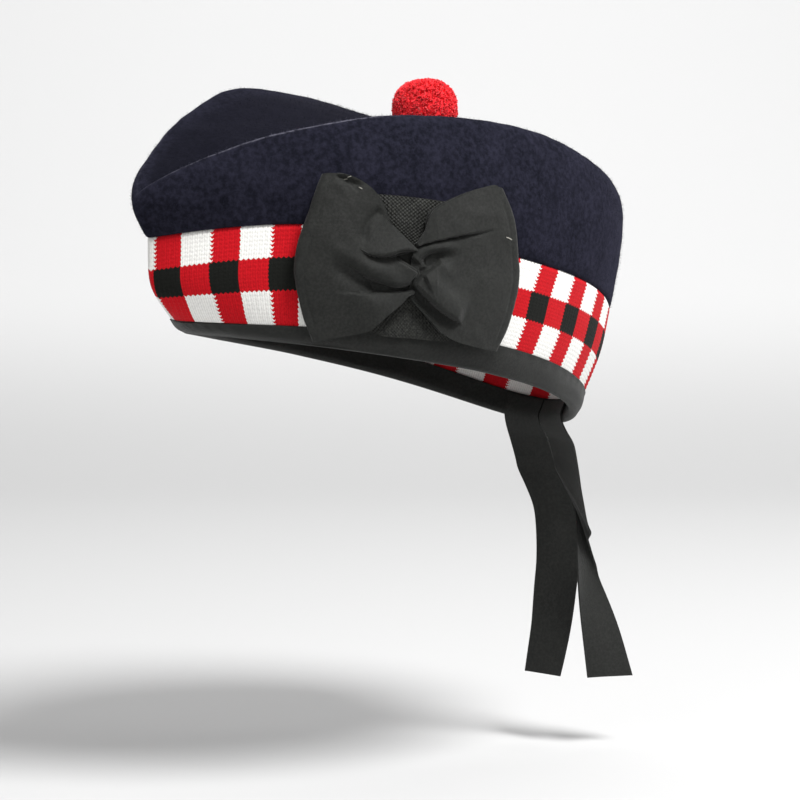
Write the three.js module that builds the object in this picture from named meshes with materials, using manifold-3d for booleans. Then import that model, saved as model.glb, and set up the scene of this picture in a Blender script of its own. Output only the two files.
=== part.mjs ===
import * as THREE from 'three';
import { mergeVertices } from 'three/addons/utils/BufferGeometryUtils.js';
import Module from 'manifold-3d';

const wasm = await Module();
wasm.setup();

// A wool glengarry as worn. Millimetres, +Z up, -Y the front, +X the wearer's left.
// The origin is the middle of the head opening at the level of the rim.

// Driving dimensions
const WORN_TILT = THREE.MathUtils.degToRad(13);
const SEAM_GAP = 0.3;
const WOOL = 2.5;
const RIBBON = 1.0;
const COLUMNS = 60;
const TAIL_WIDTH = 24.5;

const BOW_REACH = 161;
const STERN_REACH = 126;
const RIDGE_HALF_WIDTH = 74;
const RIDGE_POINT_FRONT = 1.5;
const RIDGE_POINT_BACK = 1.1;
const CREASE_FRONT = -145;
const CREASE_BACK = 92;
const FOLD_OF_FLANK = 0.7;
const FOLD_OF_TOP = 0.8;

const TOORIE_RADIUS = 15.6;
const TOORIE_LOCK = 4.2;
const TOORIE_LOCKS = 32;
const LOCK_FLATTEN = 0.8;
const LOCK_SINK = 0.9;
const TOORIE_ALONG = -1.7;
const TOORIE_LIFT = 1.5;

const COCKADE_ANGLE = 70;
const COCKADE_ARC = 2.43;
const BED_ON_WALL = 0.5;
const BED_OVER_BINDING = 1.8;
const LOOP_BED = BED_OVER_BINDING + RIBBON + 2 * SEAM_GAP;
const LOOP_HEIGHT = 3.1;
const LOOP_PUFF = 1.6;
const PUFF_STARTS = 8;
const PUFF_FULL = 26;
const BOW_MIDDLE_UP = 43;
const BACKING_HALF = 33;
const BACKING_LOW = 7;
const BACKING_HIGH = 71;
const STEP_LOW = 12;
const STEP_HIGH = 24;
const KNOT_ARCH = 2.6;

// The wall of the cap, level by level from the cut edge to the top of the diced band: reach to the
// front and back, half width, how pointed the plan is (1 an ellipse, 2 a point), height at the front,
// side and back, and how quickly the height eases from the ends to the side.
const WALL = [
  { level: 0, front: 109.5, back: 112.0, half: 78.7, pointFront: 1.1, pointBack: 1.0,
    zFront: 2.0, zSide: 9.5, zBack: 0.0, easeFront: 1.5, easeBack: 4 },
  { level: 1, front: 119.5, back: 115.0, half: 82.0, pointFront: 1.17, pointBack: 1.0,
    zFront: 6.0, zSide: 19.5, zBack: 11.0, easeFront: 1.8, easeBack: 4 },
  { level: 2, front: 141.5, back: 120.0, half: 83.5, pointFront: 1.3, pointBack: 1.0,
    zFront: 21.5, zSide: 41.5, zBack: 35.0, easeFront: 2.6, easeBack: 4 },
  { level: 3, front: 147.5, back: 122.0, half: 84.0, pointFront: 1.38, pointBack: 1.02,
    zFront: 39.0, zSide: 63.5, zBack: 57.0, easeFront: 4, easeBack: 4 },
];

// The two ridges of the crown, from the bow (0 degrees) by the side (90) to the stern (180): height on
// the wearer's left and right, how far the fold is rounded, and how far the flank and the top swell.
const RIDGE = [
  { angle: 0, left: 61, right: 61, fold: 8, swell: 4, lobe: 0 },
  { angle: 15, left: 70, right: 74, fold: 7, swell: 4, lobe: 1 },
  { angle: 30, left: 83, right: 88, fold: 6, swell: 4, lobe: 2 },
  { angle: 45, left: 99, right: 108, fold: 6, swell: 4, lobe: 3 },
  { angle: 60, left: 114, right: 128, fold: 6, swell: 4, lobe: 4 },
  { angle: 90, left: 126, right: 139, fold: 8, swell: 4, lobe: 4 },
  { angle: 120, left: 125, right: 132, fold: 14, swell: 4, lobe: 3 },
  { angle: 150, left: 118, right: 120, fold: 20, swell: 2.5, lobe: 2 },
  { angle: 180, left: 105, right: 105, fold: 22, swell: 2, lobe: 0 },
];

// Height up the wall, in millimetres over the cut edge, against the level of the wall. The flank of the
// crown is the stretch from level 3 to 4.
const CLIMB = [
  { up: 0, level: 0 },
  { up: 10.8, level: 1 },
  { up: 33.4, level: 2 },
  { up: 55.7, level: 3 },
  { up: 116.6, level: 4 },
];

// The cockade's two loops, from the middle of the bow (reach 0) to the fold at the end (reach 1): place
// of the upper and the lower edge along the cap and up it, and how far the line between them bellies out.
const LOOP_FRONT = [
  { reach: 0, topAlong: -1.5, topUp: 50, lowAlong: -1.5, lowUp: 30, belly: 0 },
  { reach: 0.33, topAlong: -18, topUp: 65, lowAlong: -21, lowUp: 13, belly: 0.5 },
  { reach: 0.66, topAlong: -32, topUp: 74.5, lowAlong: -43, lowUp: 7.5, belly: 1.5 },
  { reach: 1, topAlong: -46, topUp: 82, lowAlong: -66, lowUp: 5, belly: 2.5 },
];
const LOOP_BACK = [
  { reach: 0, topAlong: 1.5, topUp: 50, lowAlong: 1.5, lowUp: 30, belly: 0 },
  { reach: 0.33, topAlong: 12, topUp: 70, lowAlong: 10, lowUp: 14.5, belly: 1.5 },
  { reach: 0.66, topAlong: 23.5, topUp: 77, lowAlong: 31, lowUp: 10, belly: 4 },
  { reach: 1, topAlong: 34.5, topUp: 82, lowAlong: 48, lowUp: 13, belly: 6.5 },
];

// Folds of the bow, from one place to another along and up the cap: how far each rises (a groove is
// negative) and how wide it is.
const FOLDS = [
  { along: -34, up: 44, toAlong: -4, toUp: 41, rise: 2.4, width: 5 },
  { along: -42, up: 29, toAlong: -4, toUp: 32, rise: -1.4, width: 4 },
  { along: -52, up: 18, toAlong: -8, toUp: 27, rise: 1.2, width: 7 },
  { along: 38, up: 66, toAlong: 4, toUp: 53, rise: 2.2, width: 5 },
  { along: 38, up: 58, toAlong: 6, toUp: 47, rise: -1.2, width: 4 },
  { along: 45, up: 14, toAlong: 5, toUp: 34, rise: 2.4, width: 5 },
  { along: 36, up: 10, toAlong: 8, toUp: 26, rise: -1.2, width: 3.5 },
  { along: -40, up: 76, toAlong: -20, toUp: 62, rise: 1.5, width: 6 },
];

// The crossed fold over the middle of the bow, from the upper front to the lower back.
const KNOT = [
  { reach: 0, along: -23, up: 63, half: 4.5 },
  { reach: 0.5, along: -2, up: 44, half: 6 },
  { reach: 1, along: 13, up: 29, half: 4 },
];

// The top of a tail behind the binding: level of the wall, and how far below the cut edge it runs on.
const TUCK = [
  { level: 0.9, below: 0 },
  { level: 0.5, below: 0 },
  { level: 0.1, below: 0 },
  { level: 0, below: 4 },
];

// The tails below the rim, as they hang: height, place of the middle, and the way the width points,
// in degrees from the wearer's left.
const TAIL_LEFT = [
  { z: -34, x: 12.6, y: 106.4, turn: -12.6 },
  { z: -42, x: 13.5, y: 109.6, turn: -12 },
  { z: -52, x: 14.5, y: 112.5, turn: -12 },
  { z: -70, x: 17, y: 119, turn: -26 },
  { z: -86, x: 18.5, y: 124, turn: -38 },
  { z: -105, x: 17, y: 124.5, turn: -62 },
  { z: -123, x: 18, y: 127.5, turn: -73 },
  { z: -142, x: 19, y: 132.4, turn: -88 },
  { z: -163, x: 20, y: 138, turn: -118 },
];
const TAIL_RIGHT = [
  { z: -34, x: -12.6, y: 106.4, turn: 12.6 },
  { z: -42, x: -11.5, y: 109.0, turn: 10 },
  { z: -52, x: -9, y: 111.5, turn: 6 },
  { z: -70, x: -3, y: 116, turn: 6 },
  { z: -86, x: 0, y: 118, turn: 5 },
  { z: -105, x: 0.5, y: 118, turn: 5 },
  { z: -123, x: 0, y: 117.5, turn: 5 },
  { z: -142, x: -3, y: 115.5, turn: 6 },
  { z: -163, x: -7, y: 113, turn: 8 },
];

// The crease along the top, from the bow to the stern.
const CREASE = [
  { along: -145, height: 65 },
  { along: -126, height: 78 },
  { along: -100, height: 93 },
  { along: -60, height: 108 },
  { along: -20, height: 114 },
  { along: 0, height: 114 },
  { along: 40, height: 111 },
  { along: 70, height: 107 },
  { along: 92, height: 102 },
];

// Smooth reading of one column of a table at a place between its rows.
function read(table, key, column, place) {
  const last = table.length - 1;
  const x = THREE.MathUtils.clamp(place, table[0][key], table[last][key]);
  let row = 0;
  while (row < last - 1 && x > table[row + 1][key]) {
    row += 1;
  }
  const slope = (k) => {
    const a = table[Math.max(k - 1, 0)];
    const b = table[Math.min(k + 1, last)];
    return (b[column] - a[column]) / (b[key] - a[key]);
  };
  const span = table[row + 1][key] - table[row][key];
  const t = (x - table[row][key]) / span;
  const rise = t * t * (3 - 2 * t);
  const lead = t * (1 - t) * (1 - t) * span * slope(row);
  const trail = -t * t * (1 - t) * span * slope(row + 1);
  return table[row][column] * (1 - rise) + table[row + 1][column] * rise + lead + trail;
}

// Plan of one level: the angle runs from the front by the wearer's left to the back.
function plan(angle, front, back, half, pointFront, pointBack) {
  const s = Math.sin(angle);
  const c = Math.cos(angle);
  const point = THREE.MathUtils.lerp(pointFront, pointBack, (1 - c) / 2);
  const x = half * Math.sign(s) * Math.pow(Math.abs(s), point);
  return new THREE.Vector2(x, -c * (c > 0 ? front : back));
}

function wallPoint(angle, level) {
  const at = (column) => read(WALL, 'level', column, level);
  const flat = plan(angle, at('front'), at('back'), at('half'), at('pointFront'), at('pointBack'));
  const c = Math.cos(angle);
  const toFront = Math.pow(Math.max(c, 0), at('easeFront'));
  const toBack = Math.pow(Math.max(-c, 0), at('easeBack'));
  const side = at('zSide');
  const z = side + (at('zFront') - side) * toFront + (at('zBack') - side) * toBack;
  return new THREE.Vector3(flat.x, flat.y, z);
}

function ridgePoint(angle) {
  const flat = plan(angle, BOW_REACH, STERN_REACH, RIDGE_HALF_WIDTH, RIDGE_POINT_FRONT, RIDGE_POINT_BACK);
  const turned = THREE.MathUtils.radToDeg(Math.abs(angle));
  return new THREE.Vector3(flat.x, flat.y, read(RIDGE, 'angle', angle >= 0 ? 'left' : 'right', turned));
}

function creasePoint(angle) {
  const y = (CREASE_BACK + CREASE_FRONT) / 2 - Math.cos(angle) * (CREASE_BACK - CREASE_FRONT) / 2;
  return new THREE.Vector3(0, y, read(CREASE, 'along', 'height', y));
}

// Outward direction of a surface given as a function of angle and level.
function outward(surface, angle, level) {
  const step = 1e-3;
  const round = surface(angle + step, level).sub(surface(angle - step, level));
  const above = surface(angle, level + step).sub(surface(angle, level - step));
  return round.cross(above).normalize();
}

function bend(a, control, b, t) {
  return a.clone().multiplyScalar((1 - t) * (1 - t))
    .addScaledVector(control, 2 * t * (1 - t))
    .addScaledVector(b, t * t);
}

// Profile of the crown at one angle: up the flank, over the rounded ridge and down to the crease.
function crownProfile(angle) {
  const turned = THREE.MathUtils.radToDeg(Math.abs(angle));
  const foot = wallPoint(angle, 3).add(new THREE.Vector3(0, 0, SEAM_GAP));
  const ridge = ridgePoint(angle);
  const crease = creasePoint(angle);
  const out = outward(wallPoint, angle, 2.99).setZ(0).normalize();
  const swell = 2 * read(RIDGE, 'angle', 'swell', turned);
  const lobe = 2 * read(RIDGE, 'angle', 'lobe', turned);
  const flankPull = foot.clone().lerp(ridge, 0.5).addScaledVector(out, swell);
  const topPull = ridge.clone().lerp(crease, 0.5).add(new THREE.Vector3(0, 0, lobe));
  const flankLength = foot.distanceTo(ridge);
  const topLength = ridge.distanceTo(crease);
  const rounded = read(RIDGE, 'angle', 'fold', turned);
  const fold = Math.min(rounded, FOLD_OF_FLANK * flankLength, FOLD_OF_TOP * topLength);
  return {
    flank: (t) => bend(foot, flankPull, ridge, t * (1 - fold / flankLength)),
    fold: (t) => {
      const a = bend(foot, flankPull, ridge, 1 - fold / flankLength);
      const b = bend(ridge, topPull, crease, fold / topLength);
      return bend(a, ridge, b, t);
    },
    top: (t) => bend(ridge, topPull, crease, fold / topLength + t * (1 - fold / topLength)),
  };
}

function ring() {
  return Array.from({ length: COLUMNS }, (_, j) => (j / COLUMNS) * 2 * Math.PI - Math.PI);
}

function steps(count) {
  return Array.from({ length: count + 1 }, (_, i) => i / count);
}

// Indexed surface from rows of points, points that coincide being shared.
class Weld {
  constructor() {
    this.found = new Map();
    this.points = [];
    this.triangles = [];
  }

  point(p) {
    const key = p.toArray().map((v) => Math.round(v * 1e4)).join(' ');
    if (!this.found.has(key)) {
      this.found.set(key, this.points.length);
      this.points.push(p);
    }
    return this.found.get(key);
  }

  triangle(a, b, c) {
    if (a !== b && b !== c && c !== a) {
      this.triangles.push([a, b, c]);
    }
  }

  quad(a, b, c, d) {
    this.triangle(a, b, c);
    this.triangle(a, c, d);
  }

  volume() {
    const each = ([a, b, c]) => this.points[a].clone().cross(this.points[b]).dot(this.points[c]) / 6;
    return this.triangles.reduce((sum, t) => sum + each(t), 0);
  }

  geometry() {
    const turn = this.volume() < 0;
    const order = this.triangles.flatMap(([a, b, c]) => (turn ? [a, c, b] : [a, b, c]));
    const geometry = new THREE.BufferGeometry();
    const places = this.points.flatMap((p) => p.toArray());
    geometry.setAttribute('position', new THREE.Float32BufferAttribute(places, 3));
    geometry.setIndex(order);
    geometry.computeVertexNormals();
    return geometry;
  }
}

// A sheet of cloth with a front and a back face. A ring closes on itself round the cap, and a closed
// top has its last row folded flat on itself along a line.
function cloth(front, back, { closedRing = false, closedTop = false } = {}) {
  const weld = new Weld();
  const f = front.map((row) => row.map((p) => weld.point(p)));
  const b = back.map((row) => row.map((p) => weld.point(p)));
  const rows = f.length - 1;
  const cols = f[0].length - (closedRing ? 0 : 1);
  const next = (j) => (j + 1) % f[0].length;
  for (let i = 0; i < rows; i += 1) {
    for (let j = 0; j < cols; j += 1) {
      weld.quad(f[i][j], f[i][next(j)], f[i + 1][next(j)], f[i + 1][j]);
      weld.quad(b[i][j], b[i + 1][j], b[i + 1][next(j)], b[i][next(j)]);
    }
  }
  for (let j = 0; j < cols; j += 1) {
    weld.quad(f[0][next(j)], f[0][j], b[0][j], b[0][next(j)]);
    if (!closedTop) {
      weld.quad(f[rows][j], f[rows][next(j)], b[rows][next(j)], b[rows][j]);
    }
  }
  if (!closedRing) {
    for (let i = 0; i < rows; i += 1) {
      weld.quad(f[i][0], f[i + 1][0], b[i + 1][0], b[i][0]);
      weld.quad(f[i + 1][cols], f[i][cols], b[i][cols], b[i + 1][cols]);
    }
  }
  return weld.geometry();
}

// Mean directions of a grid's points, for the back face of a sheet of even thickness.
function directions(grid, { closedRing = false } = {}) {
  const weld = new Weld();
  const ids = grid.map((row) => row.map((p) => weld.point(p)));
  const cols = ids[0].length - (closedRing ? 0 : 1);
  const next = (j) => (j + 1) % ids[0].length;
  for (let i = 0; i < ids.length - 1; i += 1) {
    for (let j = 0; j < cols; j += 1) {
      weld.quad(ids[i][j], ids[i][next(j)], ids[i + 1][next(j)], ids[i + 1][j]);
    }
  }
  const sums = weld.points.map(() => new THREE.Vector3());
  weld.triangles.forEach(([a, b, c]) => {
    const along = weld.points[b].clone().sub(weld.points[a]);
    const face = along.cross(weld.points[c].clone().sub(weld.points[a]));
    [a, b, c].forEach((k) => sums[k].add(face));
  });
  return ids.map((row) => row.map((k) => sums[k].clone().normalize()));
}

function behind(grid, normals, depth) {
  return grid.map((row, i) => row.map((p, j) => p.clone().addScaledVector(normals[i][j], -depth)));
}

// Crown: navy felted wool
function crown() {
  const angles = ring();
  const profiles = angles.map(crownProfile);
  const rows = [];
  steps(5).forEach((t) => rows.push(profiles.map((p) => p.flank(t))));
  steps(3).slice(1).forEach((t) => rows.push(profiles.map((p) => p.fold(t))));
  steps(4).slice(1).forEach((t) => rows.push(profiles.map((p) => p.top(t))));
  const normals = directions(rows, { closedRing: true });
  normals[0] = angles.map((angle) => outward(wallPoint, angle, 2.99));
  return cloth(rows, behind(rows, normals, WOOL), { closedRing: true, closedTop: true });
}

// Diced band: a knitted ring, its lower edge inside the binding
function dicedBand() {
  const angles = ring();
  const levels = steps(5).map((t) => 3 * t);
  const rows = levels.map((level) => angles.map((angle) => wallPoint(angle, level)));
  const normals = levels.map((level) => {
    const within = THREE.MathUtils.clamp(level, 0.01, 2.99);
    return angles.map((angle) => outward(wallPoint, angle, within));
  });
  return cloth(rows, behind(rows, normals, WOOL), { closedRing: true });
}

// Binding: ribbon folded over the cut edge, one leg outside the band and one inside
function binding() {
  const legs = [1, 0.5, 0];
  const turns = [45, 90, 135].map(THREE.MathUtils.degToRad);
  const near = WOOL / 2 + SEAM_GAP;
  const far = near + RIBBON;
  const column = (angle, reach) => {
    const place = (level, shift) => {
      const n = outward(wallPoint, angle, Math.max(level, 0.01));
      return wallPoint(angle, level).addScaledVector(n, shift - WOOL / 2);
    };
    const n = outward(wallPoint, angle, 0.01);
    const down = wallPoint(angle, 0).sub(wallPoint(angle, 0.05)).normalize();
    const edge = wallPoint(angle, 0).addScaledVector(n, -WOOL / 2);
    const under = (turn) => edge.clone().addScaledVector(n, reach * Math.cos(turn))
      .addScaledVector(down, reach * Math.sin(turn));
    return [
      ...legs.map((level) => place(level, reach)),
      ...turns.map(under),
      ...legs.slice().reverse().map((level) => place(level, -reach)),
    ];
  };
  const rows = (reach) => {
    const columns = ring().map((angle) => column(angle, reach));
    return columns[0].map((_, i) => columns.map((c) => c[i]));
  };
  return cloth(rows(far), rows(near), { closedRing: true });
}

// Toorie: wool locks fused to a round head
function solid(geometry) {
  geometry.deleteAttribute('normal');
  geometry.deleteAttribute('uv');
  const merged = mergeVertices(geometry, 1e-4);
  const vertProperties = new Float32Array(merged.attributes.position.array);
  const triVerts = new Uint32Array(merged.index.array);
  return new wasm.Manifold(new wasm.Mesh({ numProp: 3, vertProperties, triVerts }));
}

function toorie() {
  const golden = Math.PI * (3 - Math.sqrt(5));
  let ball = solid(new THREE.IcosahedronGeometry(TOORIE_RADIUS, 2));
  for (let k = 0; k < TOORIE_LOCKS; k += 1) {
    const height = 1 - 2 * (k + 0.5) / TOORIE_LOCKS;
    const wide = Math.sqrt(1 - height * height);
    const spot = new THREE.Vector3(wide * Math.cos(golden * k), wide * Math.sin(golden * k), height);
    const lock = new THREE.IcosahedronGeometry(TOORIE_LOCK, 0);
    lock.scale(1, 1, LOCK_FLATTEN);
    lock.applyQuaternion(new THREE.Quaternion().setFromUnitVectors(new THREE.Vector3(0, 0, 1), spot));
    lock.translate(...spot.multiplyScalar(TOORIE_RADIUS - LOCK_SINK).toArray());
    ball = ball.add(solid(lock));
  }
  const mesh = ball.getMesh();
  const geometry = new THREE.BufferGeometry();
  geometry.setAttribute('position', new THREE.Float32BufferAttribute(mesh.vertProperties, 3));
  geometry.setIndex(Array.from(mesh.triVerts));
  geometry.computeVertexNormals();
  return geometry;
}

// Cockade: places are given along the cap from the middle of the bow, up from the cut edge, and out from
// the wall.
function sidePoint(angle, level) {
  if (level <= 3) {
    return wallPoint(angle, level);
  }
  const foot = wallPoint(angle, 3);
  const ridge = ridgePoint(angle);
  const out = outward(wallPoint, angle, 2.99).setZ(0).normalize();
  const swell = 2 * read(RIDGE, 'angle', 'swell', THREE.MathUtils.radToDeg(Math.abs(angle)));
  const pull = foot.clone().lerp(ridge, 0.5).addScaledVector(out, swell);
  return bend(foot, pull, ridge, level - 3);
}

function onSide(along, up, out) {
  const angle = THREE.MathUtils.degToRad(COCKADE_ANGLE + along / COCKADE_ARC);
  const level = THREE.MathUtils.clamp(read(CLIMB, 'up', 'level', up), 0.01, 3.9);
  return sidePoint(angle, level).addScaledVector(outward(sidePoint, angle, level), out);
}

// The backing lies on the wall, and steps out over the binding.
function bedHeight(up) {
  const above = THREE.MathUtils.smoothstep(up, STEP_LOW, STEP_HIGH);
  return THREE.MathUtils.lerp(BED_OVER_BINDING, BED_ON_WALL, above);
}

function loopHeight(along, up) {
  const away = Math.hypot(along, 0.5 * (up - BOW_MIDDLE_UP));
  let rise = LOOP_HEIGHT + LOOP_PUFF * THREE.MathUtils.smoothstep(away, PUFF_STARTS, PUFF_FULL);
  FOLDS.forEach((fold) => {
    const run = new THREE.Vector2(fold.toAlong - fold.along, fold.toUp - fold.up);
    const off = new THREE.Vector2(along - fold.along, up - fold.up);
    const t = THREE.MathUtils.clamp(off.dot(run) / run.lengthSq(), 0, 1);
    const gap = off.addScaledVector(run, -t).length() / fold.width;
    rise += fold.rise * Math.exp(-gap * gap) * Math.sin(Math.PI * (0.15 + 0.7 * t));
  });
  return LOOP_BED + Math.max(rise, LOOP_HEIGHT);
}

function cockadeBacking() {
  const grid = (out) => steps(8).map((v) => steps(10).map((u) => {
    const along = THREE.MathUtils.lerp(-BACKING_HALF, BACKING_HALF, u);
    const up = THREE.MathUtils.lerp(BACKING_LOW, BACKING_HIGH, v);
    return onSide(along, up, bedHeight(up) + out);
  }));
  return cloth(grid(RIBBON), grid(0));
}

// One loop: the front layer from the middle outwards, the rounded fold, and the layer behind it.
function cockadeLoop(table, upwards) {
  const spot = (reach, across) => {
    const at = (column) => read(table, 'reach', column, reach);
    const sign = Math.sign(at('topAlong'));
    const belly = sign * at('belly') * 4 * across * (1 - across);
    return {
      along: THREE.MathUtils.lerp(at('lowAlong'), at('topAlong'), across) + belly,
      up: THREE.MathUtils.lerp(at('lowUp'), at('topUp'), across),
      sign,
    };
  };
  const layers = [
    ...steps(11).map((reach) => (across) => {
      const { along, up } = spot(reach, across);
      return onSide(along, up, loopHeight(along, up));
    }),
    ...[45, 90, 135].map(THREE.MathUtils.degToRad).map((turn) => (across) => {
      const { along, up, sign } = spot(1, across);
      const high = loopHeight(along, up);
      const half = (high - LOOP_BED) / 2;
      return onSide(along + sign * half * Math.sin(turn), up, LOOP_BED + half + half * Math.cos(turn));
    }),
    ...[1, 0.75, 0.5, 0.25].map((reach) => (across) => {
      const { along, up } = spot(reach, across);
      return onSide(along, up, LOOP_BED);
    }),
  ];
  const across = steps(12).map((t) => (upwards ? t : 1 - t));
  const grid = layers.map((layer) => across.map((t) => layer(t)));
  return cloth(grid, behind(grid, directions(grid), RIBBON));
}

function cockadeKnot() {
  const rows = steps(10).map((reach) => steps(6).map((t) => {
    const at = (column) => read(KNOT, 'reach', column, reach);
    const ahead = read(KNOT, 'reach', 'along', reach + 0.05) - read(KNOT, 'reach', 'along', reach - 0.05);
    const climb = read(KNOT, 'reach', 'up', reach + 0.05) - read(KNOT, 'reach', 'up', reach - 0.05);
    const across = new THREE.Vector2(-climb, ahead).normalize();
    const shift = (2 * t - 1) * at('half');
    const along = at('along') + across.x * shift;
    const up = at('up') + across.y * shift;
    const arch = KNOT_ARCH * Math.sqrt(1 - 0.96 * (2 * t - 1) * (2 * t - 1));
    return { along, up, arch };
  }));
  const floor = (p) => loopHeight(p.along, p.up) + 2 * SEAM_GAP;
  const grid = (out) => rows.map((row) => row.map((p) => onSide(p.along, p.up, floor(p) + p.arch + out)));
  return cloth(grid(RIBBON), grid(0));
}

// Tails: each starts behind the binding's inner leg and hangs below the rim
function tail(table, side) {
  const tilt = new THREE.Matrix4().makeRotationX(-WORN_TILT);
  const inside = WOOL + SEAM_GAP + RIBBON + SEAM_GAP + RIBBON;
  const across = steps(4).map((t) => (t - 0.5) * TAIL_WIDTH);
  const tucked = TUCK.map(({ level, below }) => across.map((shift) => {
    const x = table[0].x + shift;
    const angle = Math.PI - Math.asin(x / read(WALL, 'level', 'half', level));
    const wrapped = angle > Math.PI ? angle - 2 * Math.PI : angle;
    const n = outward(wallPoint, wrapped, Math.max(level, 0.01));
    const down = wallPoint(wrapped, level).sub(wallPoint(wrapped, level + 0.05)).normalize();
    const spot = wallPoint(wrapped, level).addScaledVector(n, -inside).addScaledVector(down, below);
    return spot.applyMatrix4(tilt);
  }));
  const bottom = table[table.length - 1].z;
  const hung = steps(13).map((t) => {
    const z = THREE.MathUtils.lerp(table[0].z, bottom, t);
    const down = table.map((row) => ({ ...row, drop: -row.z }));
    const at = (column) => read(down, 'drop', column, -z);
    const turn = THREE.MathUtils.degToRad(at('turn'));
    return across.map((shift) => new THREE.Vector3(
      at('x') + shift * Math.cos(turn),
      at('y') + shift * Math.sin(turn),
      z,
    ));
  });
  const grid = [...tucked, ...hung].map((row) => (side > 0 ? row : row.slice().reverse()));
  const normals = directions(grid);
  return cloth(behind(grid, normals, -RIBBON / 2), behind(grid, normals, RIBBON / 2));
}

const NAVY = { color: 0x1f2036, roughness: 0.95, metalness: 0 };
const CHECKS = { color: 0xc02030, roughness: 0.9, metalness: 0 };
const BLACK = { color: 0x2c2e2d, roughness: 0.7, metalness: 0 };
const SCARLET = { color: 0xe02028, roughness: 0.95, metalness: 0 };

function piece(name, geometry, look) {
  const mesh = new THREE.Mesh(geometry, new THREE.MeshStandardMaterial(look));
  mesh.name = name;
  return mesh;
}

const glengarry = new THREE.Group();
const cap = new THREE.Group();
cap.rotation.x = -WORN_TILT;
cap.add(piece('crown', crown(), NAVY));
cap.add(piece('diced_band', dicedBand(), CHECKS));
cap.add(piece('binding', binding(), BLACK));

const pompom = piece('toorie', toorie(), SCARLET);
const seat = read(CREASE, 'along', 'height', TOORIE_ALONG);
const half = TOORIE_RADIUS + TOORIE_LOCK * LOCK_FLATTEN;
pompom.position.set(0, TOORIE_ALONG, seat + half + TOORIE_LIFT);
cap.add(pompom);

cap.add(piece('cockade_backing', cockadeBacking(), BLACK));
cap.add(piece('cockade_loop_front', cockadeLoop(LOOP_FRONT, true), BLACK));
cap.add(piece('cockade_loop_back', cockadeLoop(LOOP_BACK, false), BLACK));
cap.add(piece('cockade_knot', cockadeKnot(), BLACK));
glengarry.add(cap);

glengarry.add(piece('tail_left', tail(TAIL_LEFT, 1), BLACK));
glengarry.add(piece('tail_right', tail(TAIL_RIGHT, 1), BLACK));

export default glengarry;
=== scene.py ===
import math

import bpy
import numpy as np
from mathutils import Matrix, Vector


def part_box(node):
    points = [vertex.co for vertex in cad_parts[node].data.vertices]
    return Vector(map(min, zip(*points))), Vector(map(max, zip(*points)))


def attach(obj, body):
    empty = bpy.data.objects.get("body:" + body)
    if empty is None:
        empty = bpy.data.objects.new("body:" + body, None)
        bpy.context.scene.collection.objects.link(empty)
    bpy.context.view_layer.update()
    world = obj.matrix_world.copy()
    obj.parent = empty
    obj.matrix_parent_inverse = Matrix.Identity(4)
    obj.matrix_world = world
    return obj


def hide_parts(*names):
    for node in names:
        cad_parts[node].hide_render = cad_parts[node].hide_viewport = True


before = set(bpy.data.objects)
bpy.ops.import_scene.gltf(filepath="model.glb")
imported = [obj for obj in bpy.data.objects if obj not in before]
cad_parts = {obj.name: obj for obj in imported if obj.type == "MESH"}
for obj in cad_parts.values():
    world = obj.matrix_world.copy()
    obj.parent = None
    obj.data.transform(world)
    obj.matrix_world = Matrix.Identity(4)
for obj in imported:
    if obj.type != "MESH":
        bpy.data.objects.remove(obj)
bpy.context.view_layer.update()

# A wool glengarry as worn. Its places and sizes are millimetres in the level cap's own frame: +Z up from
# the rim, -Y the front, +X the wearer's left. worn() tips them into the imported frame, which the tails use.
MM = 0.001
UP = np.array([0.0, 0.0, 1.0])


def table(columns, *rows):
    """A table's columns by name. The first column says where each row is."""
    return dict(zip(columns.split(), np.array(rows, float).T))


# Camera, paper floor and lights, in metres and degrees
CAMERA_AZIMUTH = 52.0
CAMERA_ELEVATION = 5.0
CAMERA_DISTANCE = 1.5
CAMERA_LENS = 135.675
CAMERA_SENSOR = 36
CAMERA_TARGET = Vector((0.006912, 0.007227, -0.011399))
FLOOR_LEVEL = -0.20
FLOOR_HALF_WIDTH = 4.5
FLOOR_BEFORE = 4.0
BACKDROP_BEHIND = 2.2
BACKDROP_TOP = 3.5
SWEEP_RADIUS = 1.0
SKY_STRENGTH = 0.34
LIGHTS = {
    "key": {"place": (1.09, 0.03, 1.60), "aim": (0, 0, 0.03), "size": 0.7, "power": 56},
    "fill": {"place": (0.35, -1.50, 0.50), "aim": (0, 0, 0.03), "size": 1.2, "power": 8},
    "side": {"place": (0.72, 1.20, 0.55), "aim": (0, 0, 0.03), "size": 0.9, "power": 9},
    "backdrop": {"place": (-0.50, 0.40, 1.60), "aim": (-1.73, 1.35, 0.40), "size": 1.5, "power": 16},
}

# Shape of the cap: its wall from the cut edge, level 0, to the crown's seam, level 3, as plans whose ends
# are more pointed above 1, and heights at the front, side and back; then the ridges and the crease on top
WORN_TILT = math.radians(13)
SEAM_GAP = 0.3
WOOL = 2.5
RIBBON = 0.8
WALL = table(
    "level front back half point_front point_back z_front z_side z_back ease_front ease_back",
    (0, 109.5, 112, 78.7, 1.15, 1.00, 2.0, 9.5, -2, 1.5, 3.0),
    (1, 122.5, 114.5, 81.6, 1.34, 1.00, 5.0, 21.5, 7.5, 1.5, 2.5),
    (2, 141.5, 121, 84.0, 1.62, 1.00, 17.0, 42.0, 32, 2.8, 2.7),
    (3, 149.0, 122.5, 84.7, 1.66, 1.02, 40.0, 65.0, 53, 3.3, 3.6),
)
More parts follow.
